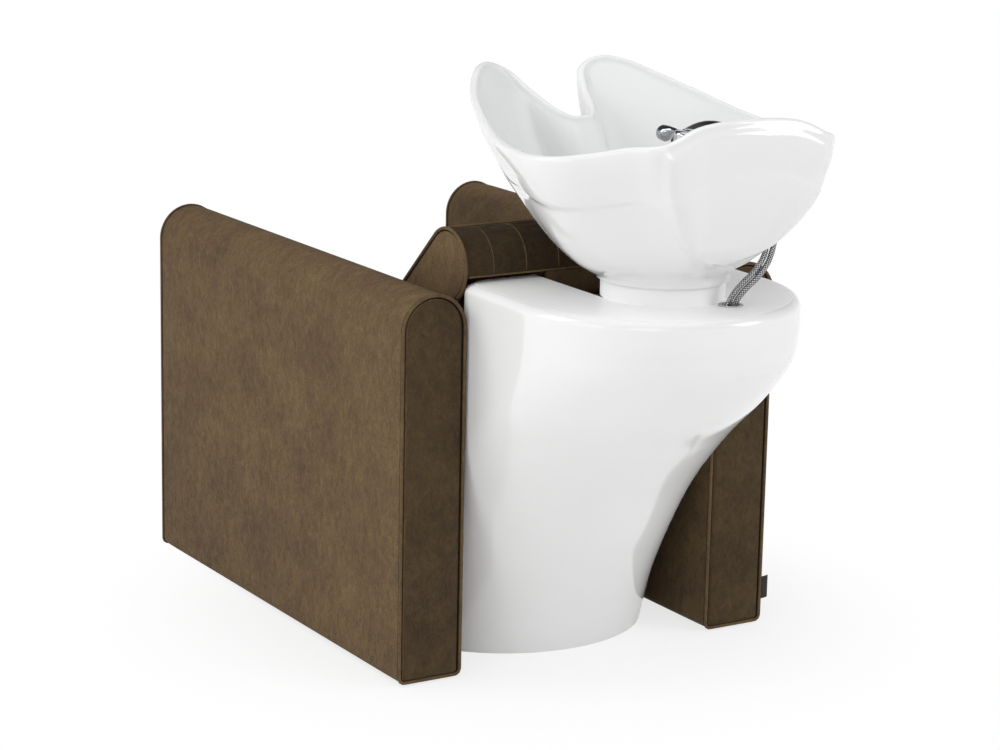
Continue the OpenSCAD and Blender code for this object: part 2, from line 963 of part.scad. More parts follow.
module top_plate() {
  color([0.2, 0.2, 0.2])
    difference() {
      translate([-plate_half, plate_from, ped_under - plate_t])
        cube([2 * plate_half, plate_to - plate_from, plate_t]);
      translate([0, collar_y, ped_under - plate_t - 1])
        cylinder(d = tail_d + drain_room, h = plate_t + 2);
      plate_screw_spots()
        translate([0, 0, ped_under - plate_t - 1])
          cylinder(d = screw_d + 2 * fit_gap, h = plate_t + 2);
    }
}

module shell_screws() {
  color([0.6, 0.6, 0.62])
    plate_screw_spots() {
      translate([0, 0, ped_under - plate_t - 3]) cylinder(d = 2 * screw_d, h = 3);
      translate([0, 0, ped_under - plate_t]) cylinder(d = screw_d, h = plate_t + 5);
    }
}

// Tilt mechanism
module collar() {
  color([0.95, 0.95, 0.95])
    translate([0, collar_y, ped_h])
      difference() {
        cylinder(d = collar_d, h = collar_h, $fn = 96);
        translate([0, 0, -1])
          cylinder(d = collar_d - 2 * collar_wall, h = collar_h + 2, $fn = 96);
      }
}

// Two ears that stand on the top plate, one on each side of the drain
module tilt_yoke() {
  color([0.35, 0.36, 0.38])
    both_sides()
      translate([0, collar_y, 0])
        difference() {
          union() {
            translate([ear_x, -ear_w / 2, ped_under])
              cube([tilt_t, ear_w, axis_z - ped_under - lug_r / 2]);
            translate([ear_x, -lug_r, ped_under + 4])
              cube([tilt_t, 2 * lug_r, axis_z - ped_under - 4]);
            translate([0, 0, axis_z]) bar_x(lug_r, ear_x, ear_x + tilt_t);
          }
          translate([0, 0, axis_z]) bar_x(pin_d / 2 + run_gap / 2, ear_x - 1, ear_x + tilt_t + 1);
        }
}

module tilt_pins() {
  color([0.7, 0.7, 0.72])
    both_sides()
      translate([0, collar_y, axis_z]) {
        bar_x(pin_d / 2, lug_x - 1, ear_x + tilt_t + 3);
        bar_x(pin_d / 2 + 3, lug_x - 4, lug_x - 1);
      }
}

module tilt_bushes() {
  color([0.85, 0.83, 0.75])
    both_sides()
      translate([0, collar_y, axis_z])
        difference() {
          bar_x(pin_d / 2 + bush_wall, lug_x, lug_x + tilt_t);
          bar_x(pin_d / 2 + run_gap / 2, lug_x - 1, lug_x + tilt_t + 1);
        }
}

// Plate under the bowl with two lugs that turn on the pins
module tilt_cradle() {
  plate_z = under_z - tilt_t;
  color([0.35, 0.36, 0.38])
    translate([0, collar_y, 0])
      difference() {
        union() {
          translate([0, 0, plate_z]) cylinder(r = cradle_r, h = tilt_t);
          both_sides() {
            translate([lug_x, -lug_r, axis_z]) cube([tilt_t, 2 * lug_r, plate_z - axis_z + 1]);
            translate([0, 0, axis_z]) bar_x(lug_r, lug_x, lug_x + tilt_t);
          }
        }
        both_sides()
          translate([0, 0, axis_z])
            bar_x(pin_d / 2 + bush_wall + run_gap / 2, lug_x - 1, lug_x + tilt_t + 1);
        translate([0, 0, plate_z - 1]) cylinder(d = tail_d + 2 * fit_gap, h = tilt_t + 2);
      }
}

// Basin
function rim_control(k) =
  let (
    n = 2 * rim_last,
    i = (k + n) % n,
    p = i <= rim_last ? rim[i] : rim[n - i],
    s = i <= rim_last ? 1 : -1
  )
  [s * p[0] * half_w, p[1], rim_z + p[2], s * cos(p[3]), sin(p[3])];

// Share of the rear arch at a point of the rim: 0 at the sides, 1 behind
function arch_share(y) = smooth((y - 90) / (rim_rear - 9 - 90));

// Share of the neck's lobes at a point of the rim: 0 at the sides, 1 in front
function lobe_share(y) = smooth((60 - y) / 380);

// One closed section of the basin: underside, outer wall, rim, inner wall, drain
function basin_section(k, t) =
  let (
    a = rim_control(k - 1),
    b = rim_control(k),
    c = rim_control(k + 1),
    d = rim_control(k + 2),
    p = blend4(a, b, c, d, t),
    h = heading4(a, b, c, d, t),
    out = unit([h[1], -h[0], 0]),
    ray = unit([p[3], p[4], 0]),
    r = rim_t / 2,
    arch = arch_share(p[1]),
    core = [p[0], p[1], p[2] - r],
    edge = core + r * out,
    lobe = lobe_share(p[1]),
    lean_x = mix(mix(0.08, 0.14, arch), 0.09, lobe),
    lean_y = mix(mix(0.08, 0.02, arch), 0.09, lobe),
    low = [edge[0] * (1 - lean_x), edge[1] * (1 - lean_y), edge[2] - band_h + band_rise * lobe],
    step = mix(low, [0, 0, low[2]], (1 - arch) * band_step / norm([low[0], low[1]])) - [0, 0, 5],
    ring = [ring_out * ray[0], ring_out * ray[1], ring_z],
    fall = step[2] - ring_z,
    flat = [step[0] - ring[0], step[1] - ring[1], 0],
    swell_x = mix(mix(0.55, 0.24, arch), 0.45, lobe),
    swell_y = mix(0.6, 0.45, lobe),
    knee = step - [flat[0] * mix(0.12, 0.4, arch), flat[1] * mix(0.04, 0.16, lobe), fall * 0.42],
    belly = ring + [flat[0] * swell_x, flat[1] * swell_y, fall * 0.16],
    lip = core - r * out,
    inward = unit(mix(-out, [0, -1, 0], arch)),
    ledge = lip + inward * 3 - [0, 0, 8 + (deck_drop - r - 8) * arch],
    brink = ledge + inward * (4 + (deck_w - 4) * arch) - [0, 0, 7 * (1 - arch)],
    seat = [seat_r * ray[0], seat_r * ray[1], bowl_z],
    drop = brink[2] - bowl_z,
    wide = [brink[0] - seat[0], brink[1] - seat[1], 0],
    wall = brink - [0, 0, drop * mix(0.55, 0.3, lobe)] - wide * mix(0.03, 0.3, lobe),
    floor_at = seat + wide * 0.74 + [0, 0, drop * 0.04],
    hole = drain_d / 2
  )
  concat(
    [[hole * ray[0], hole * ray[1], under_z]],
    [[ring_in * ray[0], ring_in * ray[1], under_z]],
    [[ring_in * ray[0], ring_in * ray[1], ring_z]],
    [for (i = [0:7]) bezier(ring, belly, knee, step, i / 8)],
    [step, low, mix(low, edge, 0.5) + out * 1.5, edge],
    [for (q = [45, 90, 135]) core + r * (cos(q) * out + [0, 0, sin(q)])],
    [lip, ledge, brink],
    [for (i = [1:7]) bezier(brink, wall, floor_at, seat, i / 8)],
    [seat, [seat_r * ray[0], seat_r * ray[1], bowl_z - seat_depth]],
    [[hole * ray[0], hole * ray[1], bowl_z - seat_depth]]
  );

module basin_skin() {
  translate([0, collar_y, 0])
    skin([
      for (k = [0:2 * rim_last - 1], i = [0:rim_steps - 1])
        basin_section(k, i / rim_steps)
    ], wrap = true);
}

module basin() {
  color([0.96, 0.96, 0.95])
    difference() {
      basin_skin();
      translate([mixer_x, mixer_y, deck_z - shank_l - 6])
        cylinder(d = shank_d + 2 * fit_gap, h = shank_l + 30);
      on_holder()
        translate([0, 0, -holder_mouth])
          cylinder(d = grip_d + 2 * holder_wall + 2 * fit_gap, h = holder_l + holder_mouth + fit_gap);
      hose_ends()
        translate([0, 0, -1]) cylinder(d = ferrule_d + 2 * run_gap, h = ferrule_l + 1 + fit_gap);
      translate([hose_pocket[0], hose_pocket[1], ring_z - 20])
        cylinder(d = hose_pocket_d, h = hose_route[0][2] - ring_z + 20);
    }
}

module drain_flange() {
  seat_z = bowl_z - seat_depth;
  color([0.8, 0.8, 0.82])
    translate([0, collar_y, 0])
      difference() {
        union() {
          translate([0, 0, seat_z]) cylinder(r = seat_r - 1, h = flange_t);
          translate([0, 0, tail_end]) cylinder(d = spigot_d, h = seat_z - tail_end);
          translate([0, 0, tail_end + spigot_l])
            cylinder(d = tail_d, h = seat_z - tail_end - spigot_l + 1);
        }
        translate([0, 0, tail_end - 1])
          cylinder(d = spigot_d - 2 * tail_wall, h = seat_z - tail_end + 10);
        translate([0, 0, seat_z - sieve_drop]) cylinder(d = strainer_d + 2 * fit_gap, h = 20);
      }
}

module drain_nut() {
  color([0.75, 0.75, 0.77])
    translate([0, collar_y, under_z - tilt_t - nut_h])
      difference() {
        cylinder(d = nut_d, h = nut_h, $fn = 6);
        translate([0, 0, -1]) cylinder(d = tail_d + 2 * run_gap, h = nut_h + 2);
      }
}

module strainer() {
  seat_z = bowl_z - seat_depth - sieve_drop;
  ring_of = 8;
  color([0.8, 0.8, 0.82])
    translate([0, collar_y, seat_z]) {
      difference() {
        cylinder(d = strainer_d, h = 2.5);
        for (i = [0:ring_of - 1])
          rotate(i * 360 / ring_of)
            translate([strainer_d * 0.33, 0, -1]) cylinder(d = 6, h = 5, $fn = 24);
      }
      translate([0, 0, 2.5]) cylinder(d = 8, h = 6);
    }
}

// Mixer
module mixer_base() {
  color([0.8, 0.8, 0.82])
    translate([mixer_x, mixer_y, deck_z]) {
      cylinder(d = mixer_d, h = mixer_base_h);
      translate([0, 0, -shank_l]) cylinder(d = shank_d, h = shank_l);
    }
}

module lever_axis() {
  translate([mixer_x, mixer_y, deck_z + mixer_base_h + run_gap + cap_h - 7]) children();
}

// Turning cap with a slot for the lever
module mixer_cap() {
  crown = 6;
  color([0.8, 0.8, 0.82])
    difference() {
      translate([mixer_x, mixer_y, deck_z + mixer_base_h + run_gap])
        rotate_extrude() {
          square([mixer_d / 2 - 1, cap_h - crown]);
          square([mixer_d / 2 - 1 - crown, cap_h]);
          translate([mixer_d / 2 - 1 - crown, cap_h - crown]) circle(crown, $fn = 32);
        }
      lever_axis() {
        translate([-tongue_w / 2 - fit_gap, -mixer_d, -7])
          cube([tongue_w + 2 * fit_gap, mixer_d + 9, 30]);
        bar_x(lever_pin_d / 2 + run_gap / 2, -11, 11);
      }
    }
}

module lever_pin() {
  color([0.7, 0.7, 0.72]) lever_axis() bar_x(lever_pin_d / 2, -10, 10);
}

module mixer_lever() {
  color([0.8, 0.8, 0.82])
    lever_axis()
      difference() {
        union() {
          bar_x(5.5, -tongue_w / 2, tongue_w / 2);
          rotate([90, 0, 0]) cylinder(d = lever_d - 0.4, h = lever_l);
          translate([0, -lever_l, 0]) sphere(d = ball_d);
        }
        bar_x(lever_pin_d / 2 + run_gap, -10, 10);
      }
}

// Hand shower
module shower_plane() {
  translate([shower_x, shower_y, shower_top - grip_d / 2 - grip_bend])
    rotate([90, 0, 90])
      children();
}

// Frame of the holder: the axis points out along the grip's tail
module on_holder() {
  shower_plane()
    rotate([0, 0, 90 - arc_half])
      translate([grip_bend, 0, 0])
        rotate([90, 0, 0])
          translate([0, 0, tail_l - holder_l])
            children();
}

module shower_holder() {
  color([0.8, 0.8, 0.82])
    on_holder()
      difference() {
        cylinder(d = grip_d + 2 * holder_wall, h = holder_l);
        translate([0, 0, -1]) cylinder(d = grip_d + 2 * fit_gap, h = holder_l + 2);
      }
}

module shower_grip() {
  color([0.08, 0.08, 0.08]) {
    shower_plane()
      rotate([0, 0, 90 - arc_half])
        rotate_extrude(angle = 2 * arc_half)
          translate([grip_bend, 0]) circle(d = grip_d, $fn = 48);
    on_holder()
      translate([0, 0, holder_l - tail_l]) cylinder(d = grip_d, h = tail_l);
  }
}

module on_head() {
  shower_plane()
    rotate([0, 0, 90 + arc_half])
      translate([grip_bend, 0, 0])
        rotate([-90, 0, 0])
          children();
}

module shower_head() {
  face = 3;
  color([0.8, 0.8, 0.82])
    on_head()
      difference() {
        union() {
          cylinder(d = grip_d, h = 6);
          translate([0, 0, 6]) cylinder(d1 = grip_d, d2 = head_w, h = head_l - 16);
          translate([0, 0, head_l - 10]) cylinder(d = head_w, h = 10);
        }
        translate([0, 0, head_l - face]) cylinder(d = head_w - 4, h = face + 1);
      }
}

module spray_face() {
  rows = [[1, 0], [6, 0.22], [12, 0.36]];
  color([0.15, 0.15, 0.15])
    on_head()
      translate([0, 0, head_l - 3])
        difference() {
          cylinder(d = head_w - 4 - 2 * run_gap, h = 2.5);
          for (r = rows, i = [0:r[0] - 1])
            rotate(i * 360 / r[0])
              translate([r[1] * head_w, 0, 0.8]) cylinder(d = 1.6, h = 3, $fn = 16);
        }
}

// Supply hoses
hose_side = [
  for (i = [0:len(hose_route) - 1])
    let (
      a = hose_route[max(i - 1, 0)],
      b = hose_route[min(i + 1, len(hose_route) - 1)],
      t = unit(b - a)
    )
    unit(cross(t, [0.55, 0.83, 0]))
];

function hose_path(side) = [
  for (i = [0:len(hose_route) - 1])
    let (
      part = i / (len(hose_route) - 1),
      gap = hose_d + 1 + (hose_pitch - hose_d - 1) * smooth((0.34 - part) / 0.26)
        + (coupling_pitch - hose_d - 1) * smooth((part - 0.66) / 0.26)
    )
    hose_route[i] + side * gap / 2 * hose_side[i]
];

// One unbroken tube with its bore
module hose(side) {
  path = hose_path(side);
  sides = 10;
  skin(concat(
    tube_rings(path, hose_d / 2, sides),
    turned(tube_rings(path, hose_d / 2 - hose_wall, sides))
  ), wrap = true);
}

module hose_ends() {
  for (s = [-1, 1]) translate(hose_path(s)[0]) children();
}

module hose_ferrules() {
  color([0.8, 0.8, 0.82])
    hose_ends()
      translate([0, 0, fit_gap]) cylinder(d = ferrule_d, h = ferrule_l - fit_gap);
}

module hose_hot() {
  color([0.75, 0.75, 0.77]) hose(-1);
}

module hose_cold() {
  color([0.75, 0.75, 0.77]) hose(1);
}

module hose_grommet() {
  lip = 3;
  color([0.3, 0.3, 0.32])
    translate([hose_hole[0], hose_hole[1], 0])
      difference() {
        union() {
          translate([0, 0, ped_h]) cylinder(d = hose_hole_d + 2 * lip, h = 2);
          translate([0, 0, ped_under]) cylinder(d = hose_hole_d - 2 * fit_gap, h = ped_top_t + 1);
        }
        translate([0, 0, ped_under - 1]) cylinder(d = hose_hole_d - 4, h = ped_top_t + 10);
      }
}

module coupling_spots() {
  last = len(hose_route) - 1;
  for (s = [-1, 1])
    translate([hose_path(s)[last][0], hose_path(s)[last][1], hose_route[last][2]]) children();
}

// Each coupling is held in the bridge and ends below in a stub for the building's supply pipe
module hose_couplings() {
  color([0.8, 0.68, 0.4])
    coupling_spots() {
      translate([0, 0, -bridge_drop]) cylinder(d = ferrule_d + 1, h = bridge_drop - fit_gap);
      translate([0, 0, -coupling_l]) cylinder(d = ferrule_d, h = coupling_l - bridge_drop);
    }
}

// Angle of steel strip under the top plate that carries the couplings
module hose_bridge() {
  low = hose_route[len(hose_route) - 1][2] - bridge_drop;
  from = plate_to - bridge_back;
  to = hose_hole[1] + bridge_over;
  color([0.2, 0.2, 0.2])
    difference() {
      translate([hose_hole[0] - bridge_w / 2, from, low]) {
        cube([bridge_w, to - from, bridge_t]);
        cube([bridge_w, bridge_t, ped_under - plate_t - low]);
      }
      coupling_spots()
        translate([0, 0, -coupling_l]) cylinder(d = ferrule_d + 1 + 2 * run_gap, h = coupling_l);
    }
}

left_arm_cover();
right_arm_cover();
left_arm_core();
right_arm_core();
left_arm_piping();
right_arm_piping();
arm_glides();
seat_cushion();
seat_board();
front_rail();
rear_rail();
rail_bolts();
front_panel();
backrest_pad();
backrest_board();
backrest_rear_panel();
backrest_piping();
backrest_brackets();
bracket_bolts();
bracket_screws();
pedestal_shell();
base_plate();
left_column();
right_column();
link_bars();
top_plate();
shell_screws();
tilt_yoke();
tilt_pins();
tilt_bushes();
tilt_cradle();
collar();
basin();
drain_flange();
drain_nut();
strainer();
mixer_base();
mixer_cap();
lever_pin();
mixer_lever();
shower_holder();
shower_grip();
shower_head();
spray_face();
hose_ferrules();
hose_hot();
hose_cold();
hose_grommet();
hose_couplings();
hose_bridge();
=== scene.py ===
import json
import math

import bmesh
import bpy
import numpy as np
from mathutils import Matrix, Vector


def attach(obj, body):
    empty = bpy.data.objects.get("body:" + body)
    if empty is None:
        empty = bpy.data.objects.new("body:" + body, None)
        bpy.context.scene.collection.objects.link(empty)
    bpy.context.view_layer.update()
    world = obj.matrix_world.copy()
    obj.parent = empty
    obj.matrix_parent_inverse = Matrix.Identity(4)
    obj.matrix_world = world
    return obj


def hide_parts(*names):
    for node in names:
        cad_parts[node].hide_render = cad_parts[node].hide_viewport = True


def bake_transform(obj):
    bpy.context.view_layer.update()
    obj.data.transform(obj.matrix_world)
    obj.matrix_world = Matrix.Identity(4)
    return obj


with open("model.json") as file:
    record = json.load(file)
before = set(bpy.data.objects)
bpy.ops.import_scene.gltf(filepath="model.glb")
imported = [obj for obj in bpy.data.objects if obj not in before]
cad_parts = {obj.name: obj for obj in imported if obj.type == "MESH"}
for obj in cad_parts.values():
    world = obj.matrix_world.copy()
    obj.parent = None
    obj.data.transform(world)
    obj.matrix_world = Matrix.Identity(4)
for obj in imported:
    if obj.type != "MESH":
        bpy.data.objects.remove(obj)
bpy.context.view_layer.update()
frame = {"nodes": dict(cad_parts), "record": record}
NODES = frame["nodes"]
scene = bpy.context.scene


# Camera: the photograph's viewpoint, in the part's frame
def set_camera():
    right = (-0.854181, 0.519611, 0.019482)
    up = (-0.103954, -0.207360, 0.972726)
    back = (0.509479, 0.828859, 0.231138)
    place = (2.56679, 4.12665, 1.58675)
    data = bpy.data.cameras.new("camera")
    data.sensor_width = 36
    data.lens = 103.95
    data.clip_end = 100
    camera = bpy.data.objects.new("camera", data)
    scene.collection.objects.link(camera)
    camera.matrix_world = Matrix([[right[i], up[i], back[i], place[i]] for i in range(3)] + [[0, 0, 0, 1]])
    scene.camera = camera


set_camera()


# Small helpers
def smooth(t):
    t = np.clip(t, 0.0, 1.0)
    return t * t * (3 - 2 * t)


def mix(a, b, t):
    return a + (b - a) * t


def unit(v):
    v = np.asarray(v, float)
    return v / np.linalg.norm(v, axis=-1, keepdims=True)


def catmull(points, steps, closed=False):
    """Smooth line through the points, with steps samples to a span."""
    p = np.asarray(points, float)
    n = len(p)
    spans = n if closed else n - 1
    out = []
    for i in range(spans):
        if closed:
            a, b, c, d = (p[(i + k) % n] for k in (-1, 0, 1, 2))
        else:
            a, b, c, d = p[max(i - 1, 0)], p[i], p[min(i + 1, n - 1)], p[min(i + 2, n - 1)]
        for t in np.arange(steps) / steps:
            out.append(0.5 * (2 * b + (c - a) * t + (2 * a - 5 * b + 4 * c - d) * t ** 2
                              + (3 * b - a - 3 * c + d) * t ** 3))
    if not closed:
        out.append(p[-1])
    return np.array(out)


def evenly(points, count, closed=False):
    """The same line with points at equal distances."""
    p = np.asarray(points, float)
    if closed:
        p = np.vstack([p, p[:1]])
    s = np.concatenate([[0], np.cumsum(np.linalg.norm(np.diff(p, axis=0), axis=1))])
    t = np.linspace(0, s[-1], count + 1 if closed else count)
    q = np.stack([np.interp(t, s, p[:, k]) for k in range(p.shape[1])], axis=1)
    return q[:-1] if closed else q


def loft_faces(n, m, wrap_rings=False, wrap_points=True, caps=True):
    faces = []
    for i in range(n if wrap_rings else n - 1):
        k = (i + 1) % n
        for j in range(m if wrap_points else m - 1):
            l = (j + 1) % m
            faces.append((i * m + j, i * m + l, k * m + l, k * m + j))
    if caps and not wrap_rings:
        for base, flip in ((0, True), ((n - 1) * m, False)):
            for j in range(m // 2):
                a, b, c, d = j, j + 1, m - 2 - j, m - 1 - j
                quad = [a, b, c, d] if c > b else ([a, b, d] if c == b else [])
                if quad:
                    quad = [base + q for q in quad]
                    faces.append(tuple(reversed(quad)) if flip else tuple(quad))
    return faces


def make_piece(name, verts, faces, material, body="chair", weld=True, uvs=None):
    """Smooth-shaded mesh that rides on a body."""
    mesh = bpy.data.meshes.new(name)
    mesh.from_pydata([tuple(v) for v in np.asarray(verts, float).reshape(-1, 3)], [], faces)
    if uvs is not None:
        layer = mesh.uv_layers.new(name="UVMap")
        flat = np.array([uvs[l.vertex_index] for l in mesh.loops], np.float32)
        layer.data.foreach_set("uv", flat.ravel())
    bm = bmesh.new()
    bm.from_mesh(mesh)
    if weld:
        bmesh.ops.remove_doubles(bm, verts=bm.verts, dist=1e-6)
    bmesh.ops.recalc_face_normals(bm, faces=bm.faces)
    bm.to_mesh(mesh)
    bm.free()
    mesh.shade_smooth()
    piece = bpy.data.objects.new(name, mesh)
    scene.collection.objects.link(piece)
    piece.data.materials.append(material)
    if body:
        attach(piece, body)
    return piece


def loft_piece(name, rings, material, body="chair", weld=True, wrap_rings=False):
    """Piece with its skin run through equal rings of points."""
    rings = np.array(rings)
    return make_piece(name, rings, loft_faces(*rings.shape[:2], wrap_rings), material, body, weld)


def second_material(piece, material, chosen):
    """Gives the chosen faces a material of their own."""
    piece.data.materials.append(material)
    for face in piece.data.polygons:
        face.material_index = int(chosen(face))


def apply_modifiers(piece):
    graph = bpy.context.evaluated_depsgraph_get()
    mesh = bpy.data.meshes.new_from_object(piece.evaluated_get(graph))
    piece.modifiers.clear()
    piece.data = mesh


def stood(flat, axis, value):
    """A flat outline in space, with value as the coordinate on the axis across it."""
    return np.insert(flat, axis, value, axis=1)


def cross_directions(p, closed):
    """Two directions across a line at each of its points, without twist."""
    if closed:
        t = unit(np.roll(p, -1, 0) - np.roll(p, 1, 0))
    else:
        t = unit(np.gradient(p, axis=0))
    u = np.zeros_like(p)
    start = np.array([0.3, 0.2, 0.93])
    u[0] = unit(start - t[0] * (start @ t[0]))
    for i in range(1, len(p)):
        u[i] = unit(u[i - 1] - t[i] * (u[i - 1] @ t[i]))
    if closed:
        end = unit(u[-1] - t[0] * (u[-1] @ t[0]))
        turn = math.atan2(np.cross(end, u[0]) @ t[0], end @ u[0])
        for i in range(len(p)):
            a = turn * i / len(p)
            u[i] = u[i] * math.cos(a) + np.cross(t[i], u[i]) * math.sin(a)
    return u, np.cross(t, u)


def tube(path, radius, sides, closed=False):
    p = np.asarray(path, float)
    u, v = cross_directions(p, closed)
    a = (np.arange(sides) * 2 * math.pi / sides)[None, :, None]
    rings = p[:, None] + radius * (np.cos(a) * u[:, None] + np.sin(a) * v[:, None])
    return rings, loft_faces(len(p), sides, wrap_rings=closed)


def tube_piece(name, tubes, material):
    """One piece made of tubes, each given as its path, radius, sides and whether it closes."""
    verts, faces = [], []
    for path, radius, sides, closed in tubes:
        base = len(verts)
        rings, quads = tube(path, radius, sides, closed)
        verts.extend(rings.reshape(-1, 3))
        faces += [tuple(base + k for k in q) for q in quads]
    return make_piece(name, verts, faces, material)


# Materials: a Principled shader with its detail made by nodes
def socket(key):
    return key.replace("_", " ").title().replace("Ior", "IOR")


def new_material(name, **sockets):
    material = bpy.data.materials.new(name)
    material.use_nodes = True
    tree = material.node_tree
    shader = tree.nodes["Principled BSDF"]
    for key, value in sockets.items():
        shader.inputs[socket(key)].default_value = (*value, 1.0) if isinstance(value, tuple) else value
    return material, tree, shader


def feed(tree, shader, **outputs):
    """Joins node outputs to the shader's sockets."""
    for key, output in outputs.items():
        tree.links.new(output, shader.inputs[socket(key)])


def add(tree, kind, inputs=None, **settings):
    n = tree.nodes.new("ShaderNode" + kind)
    for key, value in settings.items():
        setattr(n, key, value)
    for key, value in (inputs or {}).items():
        if isinstance(value, bpy.types.NodeSocket):
            tree.links.new(value, n.inputs[key])
        else:
            n.inputs[key].default_value = value
    return n


def placed(tree, scale=(1, 1, 1), turn=(0, 0, 0), shift=(0, 0, 0)):
    coords = add(tree, "TexCoord")
    m = add(tree, "Mapping", {"Vector": coords.outputs["Object"], "Scale": scale, "Rotation": turn,
                              "Location": shift})
    return m.outputs["Vector"]


def noise(tree, vector, scale, detail=4.0, rough=0.55, bend=0.0):
    n = add(tree, "TexNoise", {"Vector": vector, "Scale": scale, "Detail": detail, "Roughness": rough,
                               "Distortion": bend})
    return n.outputs["Fac"]


def math_node(tree, what, a, b=0.0, c=0.0):
    return add(tree, "Math", {0: a, 1: b, 2: c}, operation=what).outputs[0]


def ranged(tree, value, low, high, to_low, to_high):
    n = add(tree, "MapRange", {"Value": value, "From Min": low, "From Max": high, "To Min": to_low,
                               "To Max": to_high})
    return n.outputs["Result"]


def ramp(tree, value, stops):
    n = add(tree, "ValToRGB", {"Fac": value})
    bar = n.color_ramp
    while len(bar.elements) < len(stops):
        bar.elements.new(0.5)
    for e, (place, colour) in zip(bar.elements, stops):
        e.position = place
        e.color = (*colour, 1) if not np.isscalar(colour) else (colour, colour, colour, 1)
    return n.outputs["Color"]


def bump(tree, shader, height, strength, distance):
    n = add(tree, "Bump", {"Height": height, "Strength": strength, "Distance": distance})
    feed(tree, shader, normal=n.outputs["Normal"])


def leather(name, gain=1.0, lean=0.12, shift=(0, 0, 0), shade=False):
    """Aged leatherette: olive and plum blotches, short strokes and a fine grain.

    When the flag is set, its colour is also multiplied by the mesh's per-point attribute of painted shade.
    """
    material, tree, shader = new_material(name, specular_ior_level=0.12)
    tall = placed(tree, (1, 1, 0.7), (lean, 0, 0), shift)
    blotch = noise(tree, tall, 58, 7, 0.7, 0.6)
    strokes = noise(tree, placed(tree, (1, 1, 0.5), (lean * 2, 0.1, 0), shift), 230, 4, 0.65, 0.6)
    cloud = noise(tree, placed(tree, shift=shift), 9, 3, 0.5)
    grain = noise(tree, tall, 560, 3, 0.7, 0.3)
    value = math_node(tree, "MULTIPLY", blotch, 0.44)
    value = math_node(tree, "MULTIPLY_ADD", strokes, 0.30, value)
    value = math_node(tree, "MULTIPLY_ADD", cloud, 0.26, value)
    tones = [(0.36, (0.078, 0.051, 0.030)), (0.46, (0.107, 0.069, 0.038)),
             (0.54, (0.130, 0.085, 0.041)), (0.66, (0.166, 0.112, 0.052))]
    tones = [(p, tuple(gain * c for c in colour)) for p, colour in tones]
    light = ranged(tree, grain, 0.25, 0.75, 0.66, 1.34)
    # painted shade: the colour is scaled by the mesh's per-point shade values
    if shade:
        painted = add(tree, "Attribute", attribute_name="shade").outputs["Fac"]
        light = math_node(tree, "MULTIPLY", light, painted)
    tint = add(tree, "HueSaturation", {"Color": ramp(tree, value, tones), "Value": light})
    rough = ranged(tree, value, 0.4, 0.6, 0.80, 0.64)
    feed(tree, shader, base_color=tint.outputs["Color"], roughness=rough)
    pores = add(tree, "TexVoronoi", {"Vector": placed(tree), "Scale": 620.0}, feature="F1")
    relief = math_node(tree, "MULTIPLY_ADD", pores.outputs["Distance"], 0.8, grain)
    bump(tree, shader, relief, 0.3, 0.0004)
    return material


def gloss_white(name, colour, rough, shift, coat=0.3):
    """Glazed white: nearly even, with a faint waviness and a little change of gloss."""
    material, tree, shader = new_material(name, specular_ior_level=0.45, coat_weight=coat,
                                          coat_roughness=0.04)
    cloud = noise(tree, placed(tree, shift=shift), 3.2, 3, 0.5)
    low = tuple(c * 0.975 for c in colour)
    gloss = ranged(tree, noise(tree, placed(tree), 26, 4, 0.6), 0.3, 0.7, rough * 0.7, rough * 1.4)
    feed(tree, shader, base_color=ramp(tree, cloud, [(0.3, low), (0.7, colour)]), roughness=gloss)
    bump(tree, shader, noise(tree, placed(tree, shift=shift), 16, 2, 0.4), 0.04, 0.002)
    return material


def polished(name, colour, rough, grain=0.0):
    """Bright metal with faint wipe marks."""
    material, tree, shader = new_material(name, base_color=colour, metallic=1.0)
    marks = noise(tree, placed(tree, (1, 1, 6)), 140, 4, 0.6)
    feed(tree, shader, roughness=ranged(tree, marks, 0.3, 0.7, rough * 0.6, rough * 1.5))
    if grain:
        bump(tree, shader, noise(tree, placed(tree, (1, 1, 30)), 300, 2, 0.5), grain, 0.0003)
    return material


def coated(name, colour, rough, size, depth):
    """Powder coat, rubber or moulded plastic: a fine even texture and a little dust in the colour."""
    material, tree, shader = new_material(name, roughness=rough)
    dust = noise(tree, placed(tree), 35, 5, 0.6)
    pale = tuple(c * 1.5 + 0.004 for c in colour)
    feed(tree, shader, base_color=ramp(tree, dust, [(0.42, colour), (0.8, pale)]))
    bump(tree, shader, noise(tree, placed(tree), size, 2, 0.5), depth, 0.0003)
    return material


def plywood(name):
    """Pale veneer with long grain and darker glue lines between the plies."""
    material, tree, shader = new_material(name, roughness=0.62)
    grain = noise(tree, placed(tree, (1, 0.05, 1)), 110, 5, 0.6, 0.6)
    plies = add(tree, "TexWave", {"Vector": placed(tree), "Scale": 105.0, "Distortion": 0.4, "Detail": 1.0},
                bands_direction="X")
    value = math_node(tree, "MULTIPLY", grain, 0.7)
    value = math_node(tree, "MULTIPLY_ADD", plies.outputs["Fac"], 0.3, value)
    tones = [(0.25, (0.30, 0.19, 0.10)), (0.5, (0.50, 0.35, 0.20)), (0.75, (0.62, 0.46, 0.28))]
    feed(tree, shader, base_color=ramp(tree, value, tones))
    bump(tree, shader, grain, 0.25, 0.0004)
    return material


def tape(name):
    """Plain black ribbon with a fine cross weave."""
    material, tree, shader = new_material(name, roughness=0.7)
    wave = add(tree, "TexWave", {"Vector": placed(tree), "Scale": 420.0, "Distortion": 0.2},
               bands_direction="Z")
    weave = wave.outputs["Fac"]
    feed(tree, shader, base_color=ramp(tree, weave, [(0.2, 0.003), (0.8, 0.010)]))
    bump(tree, shader, weave, 0.4, 0.0002)
    return material


